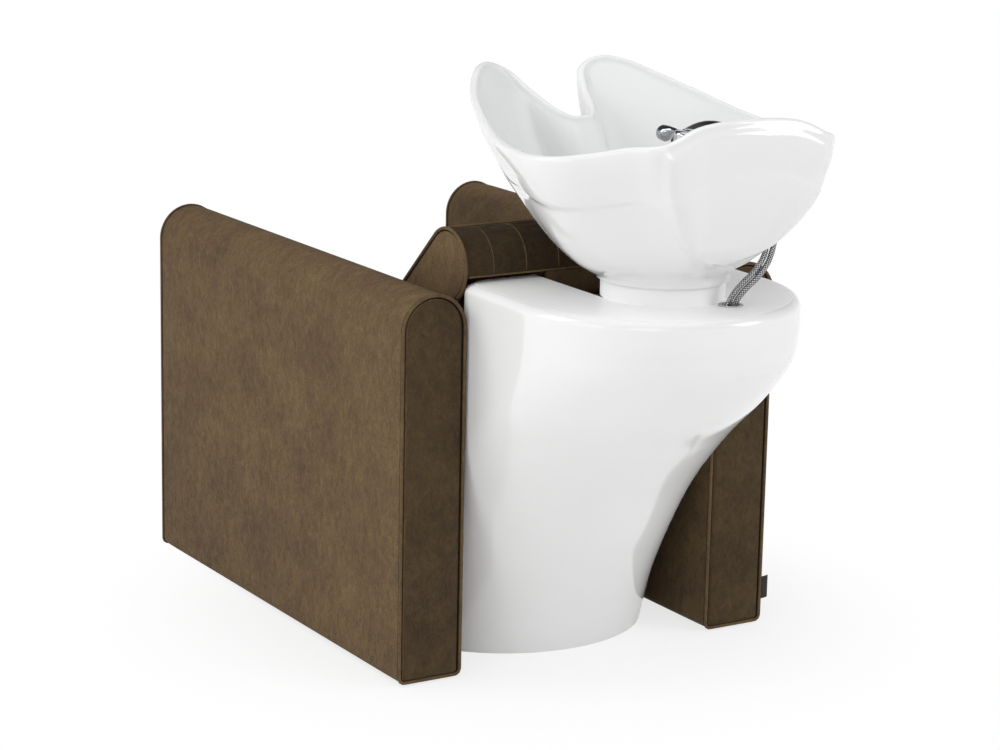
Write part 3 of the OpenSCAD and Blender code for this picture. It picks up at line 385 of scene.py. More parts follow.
def braid(name):
    """Woven steel wires on a hose: two families of strands that pass over and under each other."""
    material, tree, shader = new_material(name, metallic=1.0, roughness=0.2)

    def strand(place):
        wave = math_node(tree, "SINE", math_node(tree, "MULTIPLY", place, math.pi))
        return math_node(tree, "ABSOLUTE", wave)

    axes = add(tree, "SeparateXYZ", {0: add(tree, "UVMap").outputs["UV"]})
    turns = math_node(tree, "MULTIPLY", axes.outputs["X"], 6.0)
    runs = math_node(tree, "MULTIPLY", axes.outputs["Y"], 230.0)
    left = math_node(tree, "ADD", turns, runs)
    right = math_node(tree, "SUBTRACT", turns, runs)
    count = math_node(tree, "ADD", math_node(tree, "FLOOR", left), math_node(tree, "FLOOR", right))
    pick = math_node(tree, "ABSOLUTE", math_node(tree, "MODULO", count, 2.0))
    height = add(tree, "Mix", {"Factor": pick, "A": strand(left), "B": strand(right)}, data_type="FLOAT")
    value = height.outputs["Result"]
    # The low parts between the strands are nearly black: painted shade in the gaps.
    tones = [(0.35, 0.008), (0.75, 0.20), (1.0, (0.80, 0.81, 0.82))]
    feed(tree, shader, base_color=ramp(tree, value, tones))
    bump(tree, shader, value, 0.8, 0.0008)
    return material


LEATHER = leather("leatherette")
# Arm leatherette with painted shade: its colour follows a per-point attribute set on the arm covers.
LEATHER_ARM_SHADED = leather("leatherette_arm_painted_shade", shade=True)
LEATHER_PIPING = leather("leatherette_piping", 1.0, 0.4, (0.3, 0.1, 0.2))
# Painted shade: a darker copy of the leatherette for the arms' end faces, which face away from the key light.
LEATHER_END_SHADED = leather("leatherette_end_painted_shade", 0.55, 0.1, (0.2, 0.6, 0.3))
# Painted shadow: a much darker copy of the leatherette for the backrest and its rear panel, which lie under
# the basin.
LEATHER_BACK_SHADOWED = leather("leatherette_back_painted_shadow", 0.39, 0.3, (0.5, 0.2, 0.1))
LEATHER_SEAT = leather("leatherette_seat", 0.95, 0.2, (0.1, 0.7, 0.4))
# Painted highlight: a lighter copy of the leatherette for the backrest's hem, stitch and top lines.
LEATHER_EDGE_LIT = leather("leatherette_edge_painted_highlight", 1.25, 0.2, (0.4, 0.4, 0.7))
# Painted shade: a near-black copy of the leatherette for thin lines laid in the creases beside the piping and
# seams.
SEAM_PAINTED_SHADE = leather("leatherette_seam_painted_shade", 0.10, 0.2, (0.6, 0.1, 0.5))
CERAMIC = gloss_white("glazed_ceramic", (0.84, 0.845, 0.84), 0.07, (0, 0, 0))
# Painted shade: a darker, rougher copy of the glaze for the inside of the bowl.
CERAMIC_INSIDE_SHADED = gloss_white("glazed_inside_painted_shade", (0.725, 0.735, 0.73), 0.42, (1, 0, 2), 0.0)
SHELL = gloss_white("gel_coat", (0.87, 0.875, 0.87), 0.10, (2, 1, 0), 0.25)
# Painted light: a lighter, matte copy of the gel coat for the pedestal's flat top, which lies in the basin's
# shade.
SHELL_TOP_LIT = new_material("gel_coat_top_painted_light", base_color=(0.955, 0.955, 0.955), roughness=0.4)[0]
COLLAR_WHITE = gloss_white("collar_white", (0.95, 0.95, 0.95), 0.45, (0, 2, 1), 0.0)
CHROME = polished("chrome", (0.62, 0.63, 0.65), 0.05)
# Painted shade: a darker copy of the chrome for the mixer lever, standing in for its dark reflections.
CHROME_SHADED = polished("lever_chrome_painted_shade", (0.44, 0.45, 0.47), 0.05)
ZINC = polished("zinc", (0.56, 0.56, 0.57), 0.3, 0.15)
GREY_STEEL = polished("grey_steel", (0.36, 0.37, 0.39), 0.35, 0.2)
BRASS = polished("brass", (0.72, 0.54, 0.26), 0.22, 0.1)
BLACK_STEEL = coated("powder_coat", (0.022, 0.022, 0.023), 0.45, 900, 0.25)
BLACK_PLASTIC = coated("black_plastic", (0.004, 0.004, 0.004), 0.32, 1500, 0.05)
BLACK_RUBBER = coated("black_rubber", (0.020, 0.020, 0.020), 0.7, 700, 0.3)
PALE_RUBBER = coated("pale_rubber", (0.42, 0.42, 0.41), 0.6, 700, 0.3)
BUSH = coated("bush_plastic", (0.70, 0.68, 0.60), 0.5, 900, 0.1)
PLY = plywood("plywood")
BRAID = braid("steel_braid")
TAPE = tape("woven_tape")

CAD_FINISH = {
    "plywood": PLY, "black_steel": BLACK_STEEL, "zinc": ZINC, "grey_steel": GREY_STEEL,
    "white_shell": SHELL, "white_ceramic": CERAMIC, "bush_plastic": BUSH, "chrome": CHROME,
    "black_plastic": BLACK_PLASTIC, "black_rubber": BLACK_RUBBER, "braid": BRAID, "brass": BRASS,
    "leatherette": LEATHER, "piping": LEATHER_PIPING,
}
for part in frame["record"]["subparts"]:
    solid = NODES[part["node"]]
    solid.data.materials.clear()
    solid.data.materials.append(CAD_FINISH[part["material_slot"]])
NODES["hose_grommet"].data.materials[0] = PALE_RUBBER
NODES["collar"].data.materials[0] = COLLAR_WHITE
NODES["seat_board"].data.materials[0] = LEATHER_SEAT


# Supply hoses: the CAD route, in metres
HOSE_ROUTE = 0.001 * np.array([
    (-98, 584, 772), (-98, 584, 758), (-97, 583, 744), (-93, 581, 730), (-87, 577, 717),
    (-79, 572, 704), (-69, 566, 692), (-60, 560, 679), (-53, 556, 666), (-49, 553, 652),
    (-46, 551, 638), (-45, 550, 622), (-45, 550, 604), (-45, 550, 588)], float)
HOSE_D, HOSE_PITCH, COUPLING_PITCH = 0.009, 0.014, 0.032


def hose_path(side):
    n = len(HOSE_ROUTE) - 1
    out = []
    for i, p in enumerate(HOSE_ROUTE):
        t = unit(HOSE_ROUTE[min(i + 1, n)] - HOSE_ROUTE[max(i - 1, 0)])
        across = unit(np.cross(t, (0.55, 0.83, 0)))
        gap = (HOSE_D + 0.001 + (HOSE_PITCH - HOSE_D - 0.001) * smooth((0.16 - i / n) / 0.14)
               + (COUPLING_PITCH - HOSE_D - 0.001) * smooth((i / n - 0.66) / 0.26))
        out.append(p + side * gap / 2 * across)
    return np.array(out)


def hose(name, side, node):
    path = evenly(catmull(hose_path(side), 12), 120)
    sides = 20
    rings, _ = tube(path, HOSE_D / 2, sides)
    rings = np.concatenate([rings, rings[:, :1]], axis=1)
    m = sides + 1
    faces = loft_faces(len(path), m, wrap_points=False, caps=False)
    step = np.concatenate([[0], np.cumsum(np.linalg.norm(np.diff(path, axis=0), axis=1))])
    uvs = np.stack(np.broadcast_arrays(np.arange(m)[None] / sides, step[:, None]), axis=-1).reshape(-1, 2)
    piece = make_piece(name, rings, faces, BRAID, body=None, weld=False, uvs=uvs)
    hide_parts(node)
    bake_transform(piece)


hose("supply_hose_hot", -1, "hose_hot")
hose("supply_hose_cold", 1, "hose_cold")


# Basin: the CAD loft at a finer pitch and leaner at the lobes, about the collar's axis
COLLAR_Y = 0.438
RIM = np.array([
    (0, -245, 2, -90), (0.08, -249, 4, -86), (0.15, -276, 15, -82), (0.215, -328, 42, -78),
    (0.28, -360, 68, -74), (0.40, -362, 82, -69), (0.53, -336, 77, -62), (0.68, -279, 54, -52),
    (0.78, -220, 35, -42), (0.86, -158, 17, -31), (0.93, -92, 3, -19), (0.98, -12, -3, -5),
    (0.985, 45, -3, 8), (0.92, 86, 1, 22), (0.81, 122, 9, 38), (0.68, 166, 21, 55),
    (0.555, 208, 29, 70), (0.33, 213, 53, 80), (0, 215, 60, 90)], float)


def basin_rings():
    half_w, rim_z, rim_r, lip_r, rim_rear = 270.0, 908.0, 11.0, 7.5, 215.0
    band_step, deck_drop, deck_w = 9.5, 50.0, 78.0
    ring_in, ring_out, ring_z, ring_h, under_z, bowl_z = 102.3, 106.3, 687.0, 20.0, 720.0, 744.0
    seat_r, hole_r, seat_depth = 38.0, 21.5, 6.0
    shield_half, shield_top, shield_deep = 152.0, 926.0, 196.0
    band_rear, band_side, band_lobe = 76.0, 18.0, 40.0
    lobe_lean, step_drop, bulge_out, foot_rows = 0.155, 7.0, 8.0, 25
    up, level = np.array([0, 0, 1.0]), np.array([1.0, 1.0, 0])
    left = np.stack([RIM[:, 0] * half_w, RIM[:, 1], rim_z + RIM[:, 2],
                     np.cos(np.radians(RIM[:, 3])), np.sin(np.radians(RIM[:, 3]))], axis=1)
    right = left[1:-1][::-1] * np.array([-1, 1, 1, -1, 1])
    line = catmull(np.vstack([left, right]), 10, closed=True)
    ahead = unit(np.roll(line[:, :2], -1, 0) - np.roll(line[:, :2], 1, 0))

    def by_place(side, rear, front):
        """Value for one ring, between those at the sides, the rear and the lobes."""
        return mix(mix(side, rear, arch), front, lobe)

    def curve(a, b, c, d, n):
        t = (np.arange(n) / n)[:, None]
        s = 1 - t
        return s ** 3 * a + 3 * s * s * t * b + 3 * s * t * t * c + t ** 3 * d

    def run(a, b, n):
        return a + (b - a) * (np.arange(n) / n)[:, None]

    def shield(points, out, top):
        """Pushes the flat panel at the rear a little way out of the wall."""
        deep = np.clip((shield_top - points[:, 2]) / shield_deep, 0, 1)
        half = shield_half * (1 - deep ** 2) ** 0.55
        inside = smooth((half - np.abs(points[:, 0]) + 6) / 12) * (deep < 1) * (points[:, 1] > 0)
        height = (6.5 + 2.5 * smooth((deep - 0.75) / 0.2)) * inside * smooth((top - points[:, 2]) / 18)
        return points + height[:, None] * out

    def soften(points, times):
        for _ in range(times):
            points[1:-1] = 0.25 * points[:-2] + 0.5 * points[1:-1] + 0.25 * points[2:]

    rings = []
    for p, h in zip(line, ahead):
        out = np.array([h[1], -h[0], 0])
        ray = unit(np.array([p[3], p[4], 0]))
        arch = smooth((p[1] - 90) / (rim_rear - 9 - 90))
        lobe = smooth((60 - p[1]) / 380)
        core = np.array([p[0], p[1], p[2] - lip_r]) + (rim_r - lip_r) * out
        edge = core + lip_r * out
        lean = np.array([by_place(0.08, 0.14, lobe_lean), by_place(0.08, 0.02, lobe_lean), 0])
        band_h = band_rear - band_side * smooth((130 - p[1]) / 200) + band_lobe * smooth((-40 - p[1]) / 300)
        low = edge * (1 - lean) - band_h * up
        inner = low * up
        shelf = band_step * (1 - arch ** 5) * (1 - smooth((-40 - p[1]) / 200))
        step = mix(low, inner, shelf / np.hypot(low[0], low[1])) - step_drop * up
        ring = ring_out * ray + ring_z * up
        band = ring + ray + mix(6, ring_h, smooth((ray[1] + 0.3) / 0.9)) * up
        fall = step[2] - band[2]
        flat = (step - band) * level
        swell = np.array([by_place(0.40, 0.24, 0.25), by_place(0.45, 0.45, 0.25), 0])
        tuck = np.array([by_place(0.12, 0.4, 0.32), by_place(0.04, 0.04, 0.32), 0])
        knee = step - flat * tuck - fall * 0.38 * up
        belly = band + flat * swell + fall * 0.08 * up
        lip = core - lip_r * out
        inward = unit(mix(-out, np.array([0, -1.0, 0]), arch))
        ledge = lip + inward * (1 + 2 * arch) - (2 + (deck_drop - lip_r - 2) * arch) * up
        brink = ledge + inward * (2 + (deck_w - 2) * arch) - 3 * (1 - arch) * up
        seat = seat_r * ray + bowl_z * up
        drop = brink[2] - bowl_z
        wide = (brink - seat) * level
        wall = brink - drop * mix(0.55, 0.30, lobe) * up - wide * mix(0.03, 0.30, lobe)
        ground = seat + wide * 0.74 + drop * 0.04 * up
        roll = low + out * 7 * (1 - arch) + 9 * up
        bulge = mix(low, edge, 0.62) + out * bulge_out
        turn = np.radians(np.arange(1, 16) * 11.25)[:, None]
        outer = np.vstack([
            run(ring, band, 6),
            curve(band, belly, knee, step, 40),
            run(step, low, 5),
            curve(low, roll, bulge, edge, 18),
            edge[None]])
        bowl = np.vstack([
            core + lip_r * (np.cos(turn) * out + np.sin(turn) * up),
            run(lip, ledge, 6),
            run(ledge, brink, 8),
            curve(brink, wall, ground, seat, 48),
            seat[None]])
        body = np.vstack([outer, bowl])
        soften(body, 3)
        soften(body[:foot_rows], 14)
        body[:len(outer)] = shield(body[:len(outer)], out, edge[2])
        under = [hole_r * ray + under_z * up, ring_in * ray + under_z * up,
                 ring_in * ray + (ring_z + 1) * up, (ring_in + 1) * ray + ring_z * up]
        drain = [seat_r * ray + (bowl_z - seat_depth) * up, hole_r * ray + (bowl_z - seat_depth) * up]
        rings.append(np.vstack([under, body, drain]))
    return 0.001 * (np.array(rings) + np.array([0, 1000 * COLLAR_Y, 0])), len(under) + len(outer) + 9


def bore(piece, place, radius, low, high):
    """Cuts a round hole straight up into a piece."""
    a = np.arange(48) * 2 * math.pi / 48
    circle = np.stack([place[0] + radius * np.cos(a), place[1] + radius * np.sin(a)], axis=1)
    rings = [stood(circle, 2, z) for z in (low, high)]
    cutter = loft_piece("cutter", rings, piece.data.materials[0], None)
    piece.modifiers.new("hole", "BOOLEAN").object = cutter
    apply_modifiers(piece)
    piece.data.set_sharp_from_angle(angle=math.radians(50))
    bpy.data.objects.remove(cutter)


def make_basin():
    rings, crest = basin_rings()
    m = rings.shape[1]
    piece = loft_piece("basin_bowl", rings, CERAMIC, "basin", weld=False, wrap_rings=True)
    # Faces inside the bowl take the darker copy: painted shade.
    second_material(piece, CERAMIC_INSIDE_SHADED, lambda face: face.index % m > crest)
    bore(piece, (-0.092, 0.580), 0.028, 0.66, 0.772)
    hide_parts("basin")


make_basin()


# Hand shower: the grip and the head have a low, even top line
def make_shower():
    wide, thin, bend, half, tail = 0.0105, 0.0165, 0.170, math.radians(27), 0.030
    x, y, z = -0.034, 0.526, 0.948 - wide - bend
    head_l, head_w = 0.034, 0.017
    face_w, face_mid, face_up, face_down = 0.0132, -0.0038, 0.0072, 0.0078
    a = np.arange(28) * 2 * math.pi / 28

    def section(centre, out, top, low, side):
        rise = (top + low) / 2 + (top - low) / 2 * np.sin(a)
        return np.column_stack([x + side * np.cos(a), y + centre[0] + rise * out[0],
                                z + centre[1] + rise * out[1]])

    def moulding(name, rings, material, node):
        piece = loft_piece(name, rings, material, "hand_shower")
        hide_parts(node)

    rings = []
    start = np.array([math.sin(half), math.cos(half)])
    for d in np.linspace(tail, 0.001, 10):
        rings.append(section(bend * start + d * np.array([start[1], -start[0]]), start, wide, -wide, wide))
    for t in np.linspace(0, 1, 60):
        turn = mix(half, -half, t)
        out = np.array([math.sin(turn), math.cos(turn)])
        rings.append(section(bend * out, out, mix(wide, thin - wide, smooth(t / 0.25)), -wide, wide))
    moulding("shower_handle", rings, BLACK_PLASTIC, "shower_grip")

    neck, along = bend * out, np.array([-out[1], out[0]])
    bell = [(0.001, 0, 0), (0.003, 0, 0), (0.006, 0.04, 0), (0.010, 0.22, 0), (0.014, 0.48, 0),
            (0.018, 0.74, 0), (0.022, 0.92, 0), (0.026, 1, 0), (0.030, 1, 0), (0.0325, 0.98, 0.0002),
            (0.0335, 0.95, 0.0006), (head_l, 0.9, 0.0014), (0.0338, 0.86, 0.0022), (0.031, 0.84, 0.0026)]
    rings = []
    for d, swell, edge in bell:
        side = mix(wide, head_w, swell) - edge
        rings.append(section(neck + d * along, out, thin - wide - edge, -side, side))
    moulding("shower_bell", rings, BLACK_PLASTIC, "shower_head")

    rose = [(0.0305, 1.0), (0.0322, 1.0), (0.0328, 0.97), (0.0328, 0.84), (0.0324, 0.80), (0.0328, 0.76),
            (0.0330, 0.58), (0.0326, 0.54), (0.0330, 0.50), (0.0332, 0.30), (0.0328, 0.26), (0.0333, 0.22),
            (0.0334, 0.04)]
    rings = []
    for d, share in rose:
        rings.append(section(neck + d * along, out, face_mid + face_up * share, face_mid - face_down * share,
                             face_w * share))
    moulding("shower_rose", rings, BLACK_RUBBER, "spray_face")


make_shower()


# Mixer lever: a bar that swells into a drooping knob
def make_lever():
    x, y, z, reach, knob, bar = 0.078, 0.600, 0.9401, 0.060, 0.0125, 0.0042
    a = np.arange(36) * 2 * math.pi / 36
    rings = []
    for t in np.concatenate([np.linspace(0, 0.5, 14), np.linspace(0.53, 0.97, 24), [0.985, 0.995, 0.9995]]):
        d = t * (reach + knob)
        rise = bar + 0.003 * smooth(t / 0.75)
        ball = math.sqrt(max(knob ** 2 - (d - reach) ** 2, 0))
        side = ball if d > reach else bar + (knob - bar) * smooth((t - 0.42) / 0.33) ** 1.5
        top = rise if d < reach else rise - knob + ball
        low = top - 2 * side
        mid, half = (top + low) / 2, (top - low) / 2
        rings.append(np.column_stack([x + side * np.cos(a), np.full(36, y - d), z + mid + half * np.sin(a)]))
    # The lever takes the darker chrome copy: painted shade.
    piece = loft_piece("mixer_handle", rings, CHROME_SHADED, "mixer_lever")
    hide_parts("mixer_lever")


make_lever()


# Pedestal shell: the CAD skin at a finer pitch
PED_BACK = np.array([(0, 211), (100, 247), (200, 302), (300, 371), (400, 466), (480, 560), (550, 626),
                     (600, 642), (641, 644)], float)


def pedestal_rings():
    ped_h, half, wall, under, edge = 657.0, 241.0, 8.0, 647.0, 16.0
    horn_y, horn_low, foot_front, slope = 195.0, 600.0, -110.0, math.tan(math.radians(43.5))
    turns, straight, bends = 10, 6, 84

    def path(width, front, back, depth, corner):
        middle = back - depth
        r = max(2.0, min(corner, middle - front - 2))
        a = np.radians(270 + 90 * np.arange(turns + 1) / turns)
        first = np.stack([width - r + r * np.cos(a), front + r + r * np.sin(a)], axis=1)
        t = (np.arange(1, straight) / straight)[:, None]
        run = first[-1] + (np.array([width, middle]) - first[-1]) * t
        b = np.pi * np.arange(bends + 1) / bends
        rear = np.stack([width * np.cos(b), middle + depth * np.sin(b)], axis=1)
        flip = np.array([-1, 1])
        return np.vstack([first, run, rear, run[::-1] * flip, first[::-1] * flip])

    def front_at(z):
        return max(foot_front, horn_y - max(0.0, horn_low - z) / slope)

    def depth_at(z):
        return mix(224.0, 245.0, z / ped_h)

    def outer(z, back, inset):
        return path(half - inset, front_at(z) + inset, back - inset, depth_at(z) - inset, 46.0)

    def inner(z, back):
        return path(half - wall, front_at(z) + wall, back - wall, depth_at(z) - wall, 38.0)

    def notch_at(r, front):
        t = (np.arange(turns + straight) / (turns + straight))[:, None]
        b = np.pi * np.arange(bends + 1) / bends
        leg = np.array([r, front]) + np.array([0, collar_y - front]) * t
        bow = np.stack([r * np.cos(b), collar_y + r * np.sin(b)], axis=1)
        return np.vstack([leg, bow, leg[::-1] * [-1, 1]])

    def ring(skin, skin_z, lining, lining_z):
        """Closed ring that runs along the outer skin and back along the lining."""
        rings.append(np.vstack([stood(skin, 2, skin_z), stood(lining, 2, lining_z)[::-1]]))

    collar_y, notch_r, lip = 1000 * COLLAR_Y, 94.0, 4.0
    shoulder, top_back = PED_BACK[-1]
    rings = []
    for z, back in catmull(PED_BACK, 8):
        ring(outer(z, back, 0), z, inner(z, back), z)
    for a in np.radians(np.arange(1, 16) * 6.0):
        flat = outer(shoulder, top_back, edge * (1 - math.cos(a)))
        low = min(under, shoulder + 6 * math.sin(a))
        ring(flat, shoulder + edge * math.sin(a), inner(shoulder, top_back), low)
    lid = outer(shoulder, top_back, edge)
    below = notch_at(notch_r, horn_y + edge)
    brink = notch_at(notch_r + lip, horn_y + edge)
    for t in (0.0, 0.01, 0.04, 0.15, 0.4, 0.7, 0.9, 0.97, 1.0):
        ring(mix(lid, brink, t), ped_h, below, under)
    for a in np.radians(np.arange(1, 7) * 15.0):
        flat = notch_at(notch_r + lip * (1 - math.sin(a)), horn_y + edge)
        ring(flat, ped_h - lip * (1 - math.cos(a)), below, under)
    return 0.001 * np.array(rings)


def make_pedestal():
    piece = loft_piece("pedestal_body", pedestal_rings(), SHELL)
    bore(piece, (-0.0495, 0.5535), 0.017, 0.63, 0.67)
    # Flat top faces take the lighter copy: painted light.
    second_material(piece, SHELL_TOP_LIT, lambda face: face.normal.z > 0.97)
    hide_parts("pedestal_shell")


make_pedestal()


# Arms: padded covers with a half-round top, piping round both end faces
ARM_X, ARM_HALF, ARM_LOW, ARM_TOP, ARM_FRONT, ARM_REAR = 0.305, 0.058, 0.005, 0.648, -0.664, 0.248


def arm_outline(inset, count=220):
    """Closed outline of the arm's cross-section, drawn in by inset, from the bottom middle anticlockwise."""
    half, low, top = ARM_HALF - inset, ARM_LOW + inset * 0.6, ARM_TOP - inset
    r = max(0.010 - inset, 0.002)
    a = np.radians(np.arange(0, 91, 10))
    corner = np.stack([half - r + r * np.sin(a), low + r - r * np.cos(a)], axis=1)
    b = np.radians(np.arange(0, 181, 3))
    dome = np.stack([half * np.cos(b), top - half + half * np.sin(b)], axis=1)
    side = np.vstack([[0, low], corner, dome, corner[::-1] * [-1, 1]])
    return evenly(side, count, closed=True)


def make_arm(side, name):
    welt_r, seam_r, bulge = 0.0029, 0.0009, 0.0016
    profile = [(0.050, 0.0028), (0.040, 0.0027), (0.030, 0.0022), (0.020, 0.0014), (0.013, 0.0006),
               (0.0095, 0.0), (0.0084, -0.0008), (0.0072, -0.0024), (0.0062, -0.0040), (0.0050, -0.0044),
               (0.0036, -0.0042), (0.0020, -0.0040), (0.0008, -0.0044), (0.0004, -0.0056),
               (0.0002, -0.0080), (0.0, -0.0140), (-0.0003, -0.0320)]

    def section(flat, y):
        return stood(flat + [side * ARM_X, 0], 1, y)

    rings = []
    rear = [(d, ARM_REAR - 0.001 + y) for d, y in profile]
    middle = [(-0.0005, y) for y in np.linspace(ARM_REAR - 0.05, ARM_FRONT + 0.05, 60)]
    front = [(d, ARM_FRONT + 0.001 - y) for d, y in profile[::-1]]
    for d, y in rear + middle + front:
        flat = arm_outline(d)
        share = np.clip((ARM_REAR - y) * (y - ARM_FRONT) / 0.20, 0, 1) ** 0.6
        up = np.clip((flat[:, 1] - 0.02) * (0.62 - flat[:, 1]) / 0.09, 0, 1)
        flat[:, 0] += np.sign(flat[:, 0]) * (bulge * share * up)
        rings.append(section(flat, y))
    cover = loft_piece(name + "_upholstery", rings, LEATHER_ARM_SHADED)
    # Painted shade: points facing the other arm are darkened by up to a third and outer faces lifted
    # slightly, where the pedestal and basin shade the inner sides.
    shade = cover.data.attributes.new("shade", "FLOAT", "POINT")
    shade.data.foreach_set("value", [1.06 - 0.34 * float(smooth((-side * v.normal.x - 0.1) / 0.8))
                                     for v in cover.data.vertices])
    # End faces take the darker copy: painted shade.
    second_material(cover, LEATHER_END_SHADED, lambda face: abs(face.normal.y) > 0.75)
    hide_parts(name + "_cover")
    edge = arm_outline(0.001, 260)
    welts = [(section(edge, y), welt_r, 12, True) for y in (ARM_REAR - 0.003, ARM_FRONT + 0.003)]
    cord = tube_piece(name + "_welt", welts, LEATHER_PIPING)
    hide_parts(name + "_piping")
    # Thin near-black lines beside the piping: painted shade in the creases.
    seams = [(ARM_REAR - 0.004, 0.0053), (ARM_REAR - 0.0066, 0.0001), (ARM_FRONT, 0.0053),
             (ARM_FRONT + 0.0066, 0.0001)]
    seams = [(section(arm_outline(inset, 260), y), seam_r, 6, True) for y, inset in seams]
    tube_piece(name + "_seam", seams, SEAM_PAINTED_SHADE)


make_arm(1, "left_arm")
make_arm(-1, "right_arm")


# Plain woven tab sewn into the far arm's rear outer seam
def make_tab():
    low, high, reach, sewn_in, thick, curl, sag = 0.044, 0.084, 0.017, 0.0005, 0.0012, 0.004, 0.0015
    x, y = -ARM_X - ARM_HALF + sewn_in, ARM_REAR - 0.0015
    us, vs = np.linspace(0, 1, 14), np.linspace(0, 1, 20)
    verts = []
    for rear in (0, 1):
        verts.append([(x - reach * u, y + thick * rear - curl * u * u,
                       mix(low, high, v) - sag * math.sin(math.pi * v) * u) for v in vs for u in us])
    m, n = len(us), len(vs)
    faces = [(k, k + 1, k + m + 1, k + m) for i in range(n - 1) for j in range(m - 1) for k in [i * m + j]]
    faces += [tuple(m * n + k for k in reversed(f)) for f in list(faces)]
    border = [*range(m), *range(2 * m - 1, m * n, m), *range(m * n - 2, m * (n - 1) - 1, -1),
              *range(m * (n - 2), 0, -m)]
    faces += [(a, b, m * n + b, m * n + a) for a, b in zip(border, border[1:] + border[:1])]
    piece = make_piece("arm_tab", np.vstack(verts), faces, TAPE)


make_tab()


# Soft parts: a sheet or closed skin is blown up by a cloth simulation between its pinned seams
def puff(piece, pinned, pressure, cap, stiff=12.0):
    last_frame = 18
    group = piece.vertex_groups.new(name="seams")
    group.add([int(k) for k in pinned], 1.0, "REPLACE")
    count = len(piece.data.vertices)
    start = np.empty(3 * count, np.float32)
    piece.data.vertices.foreach_get("co", start)
    cloth = piece.modifiers.new("cloth", "CLOTH")
    settings = dict(quality=4, mass=0.2, tension_stiffness=stiff, compression_stiffness=stiff,
                    shear_stiffness=stiff * 0.5, bending_stiffness=0.8, vertex_group_mass=group.name,
                    use_pressure=True, uniform_pressure_force=pressure)
    for key, value in settings.items():
        setattr(cloth.settings, key, value)
    cloth.settings.effector_weights.gravity = 0
    cloth.collision_settings.use_collision = False
    cloth.point_cache.frame_start = 1
    cloth.point_cache.frame_end = last_frame
    for f in range(1, last_frame + 1):
        scene.frame_set(f)
    blown = piece.evaluated_get(bpy.context.evaluated_depsgraph_get())
    end = np.empty(3 * count, np.float32)
    blown.data.vertices.foreach_get("co", end)
    piece.modifiers.remove(cloth)
    piece.vertex_groups.remove(group)
    scene.frame_set(1)
    start, move = start.reshape(-1, 3), (end - start).reshape(-1, 3)
    far = np.linalg.norm(move, axis=1, keepdims=True) + 1e-9
    piece.data.vertices.foreach_set("co", (start + move / far * cap * np.tanh(far / cap)).ravel())
    piece.data.update()


def thicken(piece, depth):
    """Gives a sheet its padding behind the outer face."""
    solid = piece.modifiers.new("depth", "SOLIDIFY")
    solid.thickness = depth
    solid.offset = -1.0
    apply_modifiers(piece)


# Backrest: a sloping slab with a round nose. Its own frame has up the slope and out of the front.
NOSE_Y, NOSE_Z, NOSE_R, SLOPE = 0.172, 0.6785, 0.0615, math.radians(43.5)
BACK_FRONT, BACK_FOOT, BETWEEN = -0.152, 0.372, 0.243
SEAM_Z, HORN_SIDE, HORN_FRONT, CHEEK = 0.667, 0.086, 0.187, 0.2345


def slab(up, out):
    """World y and z of a point of the slab's frame."""
    return np.stack([NOSE_Y + up * math.cos(SLOPE) - out * math.sin(SLOPE),
                     NOSE_Z + up * math.sin(SLOPE) + out * math.cos(SLOPE)], axis=-1)


def nose_arc(first, last, count, r=NOSE_R):
    """World y and z round the nose, with angles in degrees from the slab's own axis."""
    a = np.radians(np.linspace(first, last, count)) + SLOPE
    return np.stack([NOSE_Y + r * np.cos(a), NOSE_Z + r * np.sin(a)], axis=1)


SEAM_TURN = math.degrees(math.asin((SEAM_Z - NOSE_Z) / NOSE_R) - SLOPE)
FRONT_LOW = (BACK_FRONT - slab(0, NOSE_R)[0]) / math.cos(SLOPE)
REAR_LOW = (BACK_FOOT - slab(0, -NOSE_R)[1]) / math.sin(SLOPE)
BOARD_FACE = -NOSE_R + 0.031


def back_outline(place, room=0.2175):
    """Closed outline of the pad in side view, the inward pull at each point and where it is soft."""
    front_top = slab(FRONT_LOW, NOSE_R)
    foot = np.linspace((BACK_FRONT, BACK_FOOT), front_top, 8)[:-1]
    face = slab(np.linspace(FRONT_LOW, 0, 70)[:-1], NOSE_R)
    nose = nose_arc(90, SEAM_TURN, 46)
    if place == "cheek":
        tuck = nose_arc(SEAM_TURN, -90, 15, NOSE_R - 0.001)[1:]
        tuck[:, 0] = np.minimum(tuck[:, 0], room)
        rear = slab(np.linspace(-0.01, REAR_LOW, 30), -NOSE_R + 0.001)
    else:
        if place == "horn":
            inner = [(HORN_FRONT + 0.003, SEAM_Z + 0.004), (HORN_FRONT, SEAM_Z - 0.002), (HORN_FRONT, 0.612)]
        else:
            inner = slab(np.array([0.026, 0.0, -0.03]), np.array([-0.046, -0.044, -0.044]))
        tuck = evenly(np.vstack([nose[-1] + [-0.001, -0.0015], nose[-1] + [-0.006, -0.001], *inner]), 14)
        rear_low = slab(REAR_LOW, BOARD_FACE)
        rear = evenly(np.vstack([slab(-0.05, BOARD_FACE - 0.004), slab(-0.10, BOARD_FACE), rear_low,
                                 (rear_low[0] - 0.004, BACK_FOOT)]), 30)
    line = np.vstack([foot, face, nose, tuck, rear])
    pull = np.zeros_like(line)
    first, last = len(foot), len(foot) + len(face)
    pull[first:last] = (math.sin(SLOPE), -math.cos(SLOPE))
    pull[last:last + len(nose)] = unit(np.array([NOSE_Y, NOSE_Z]) - nose)
    soft = np.zeros(len(line))
    soft[first + 2:last + len(nose) - 1] = 1
    return line, pull, soft


def back_spine(line):
    """Nearest point of the slab's middle line, towards which the end faces close."""
    d = line - [NOSE_Y, NOSE_Z]
    along = np.array([math.cos(SLOPE), math.sin(SLOPE)])
    up = np.clip(d @ along, FRONT_LOW + 0.02, 0)
    return np.array([NOSE_Y, NOSE_Z]) + up[:, None] * along


SEAMS = 0.062 * np.arange(-3, 4)


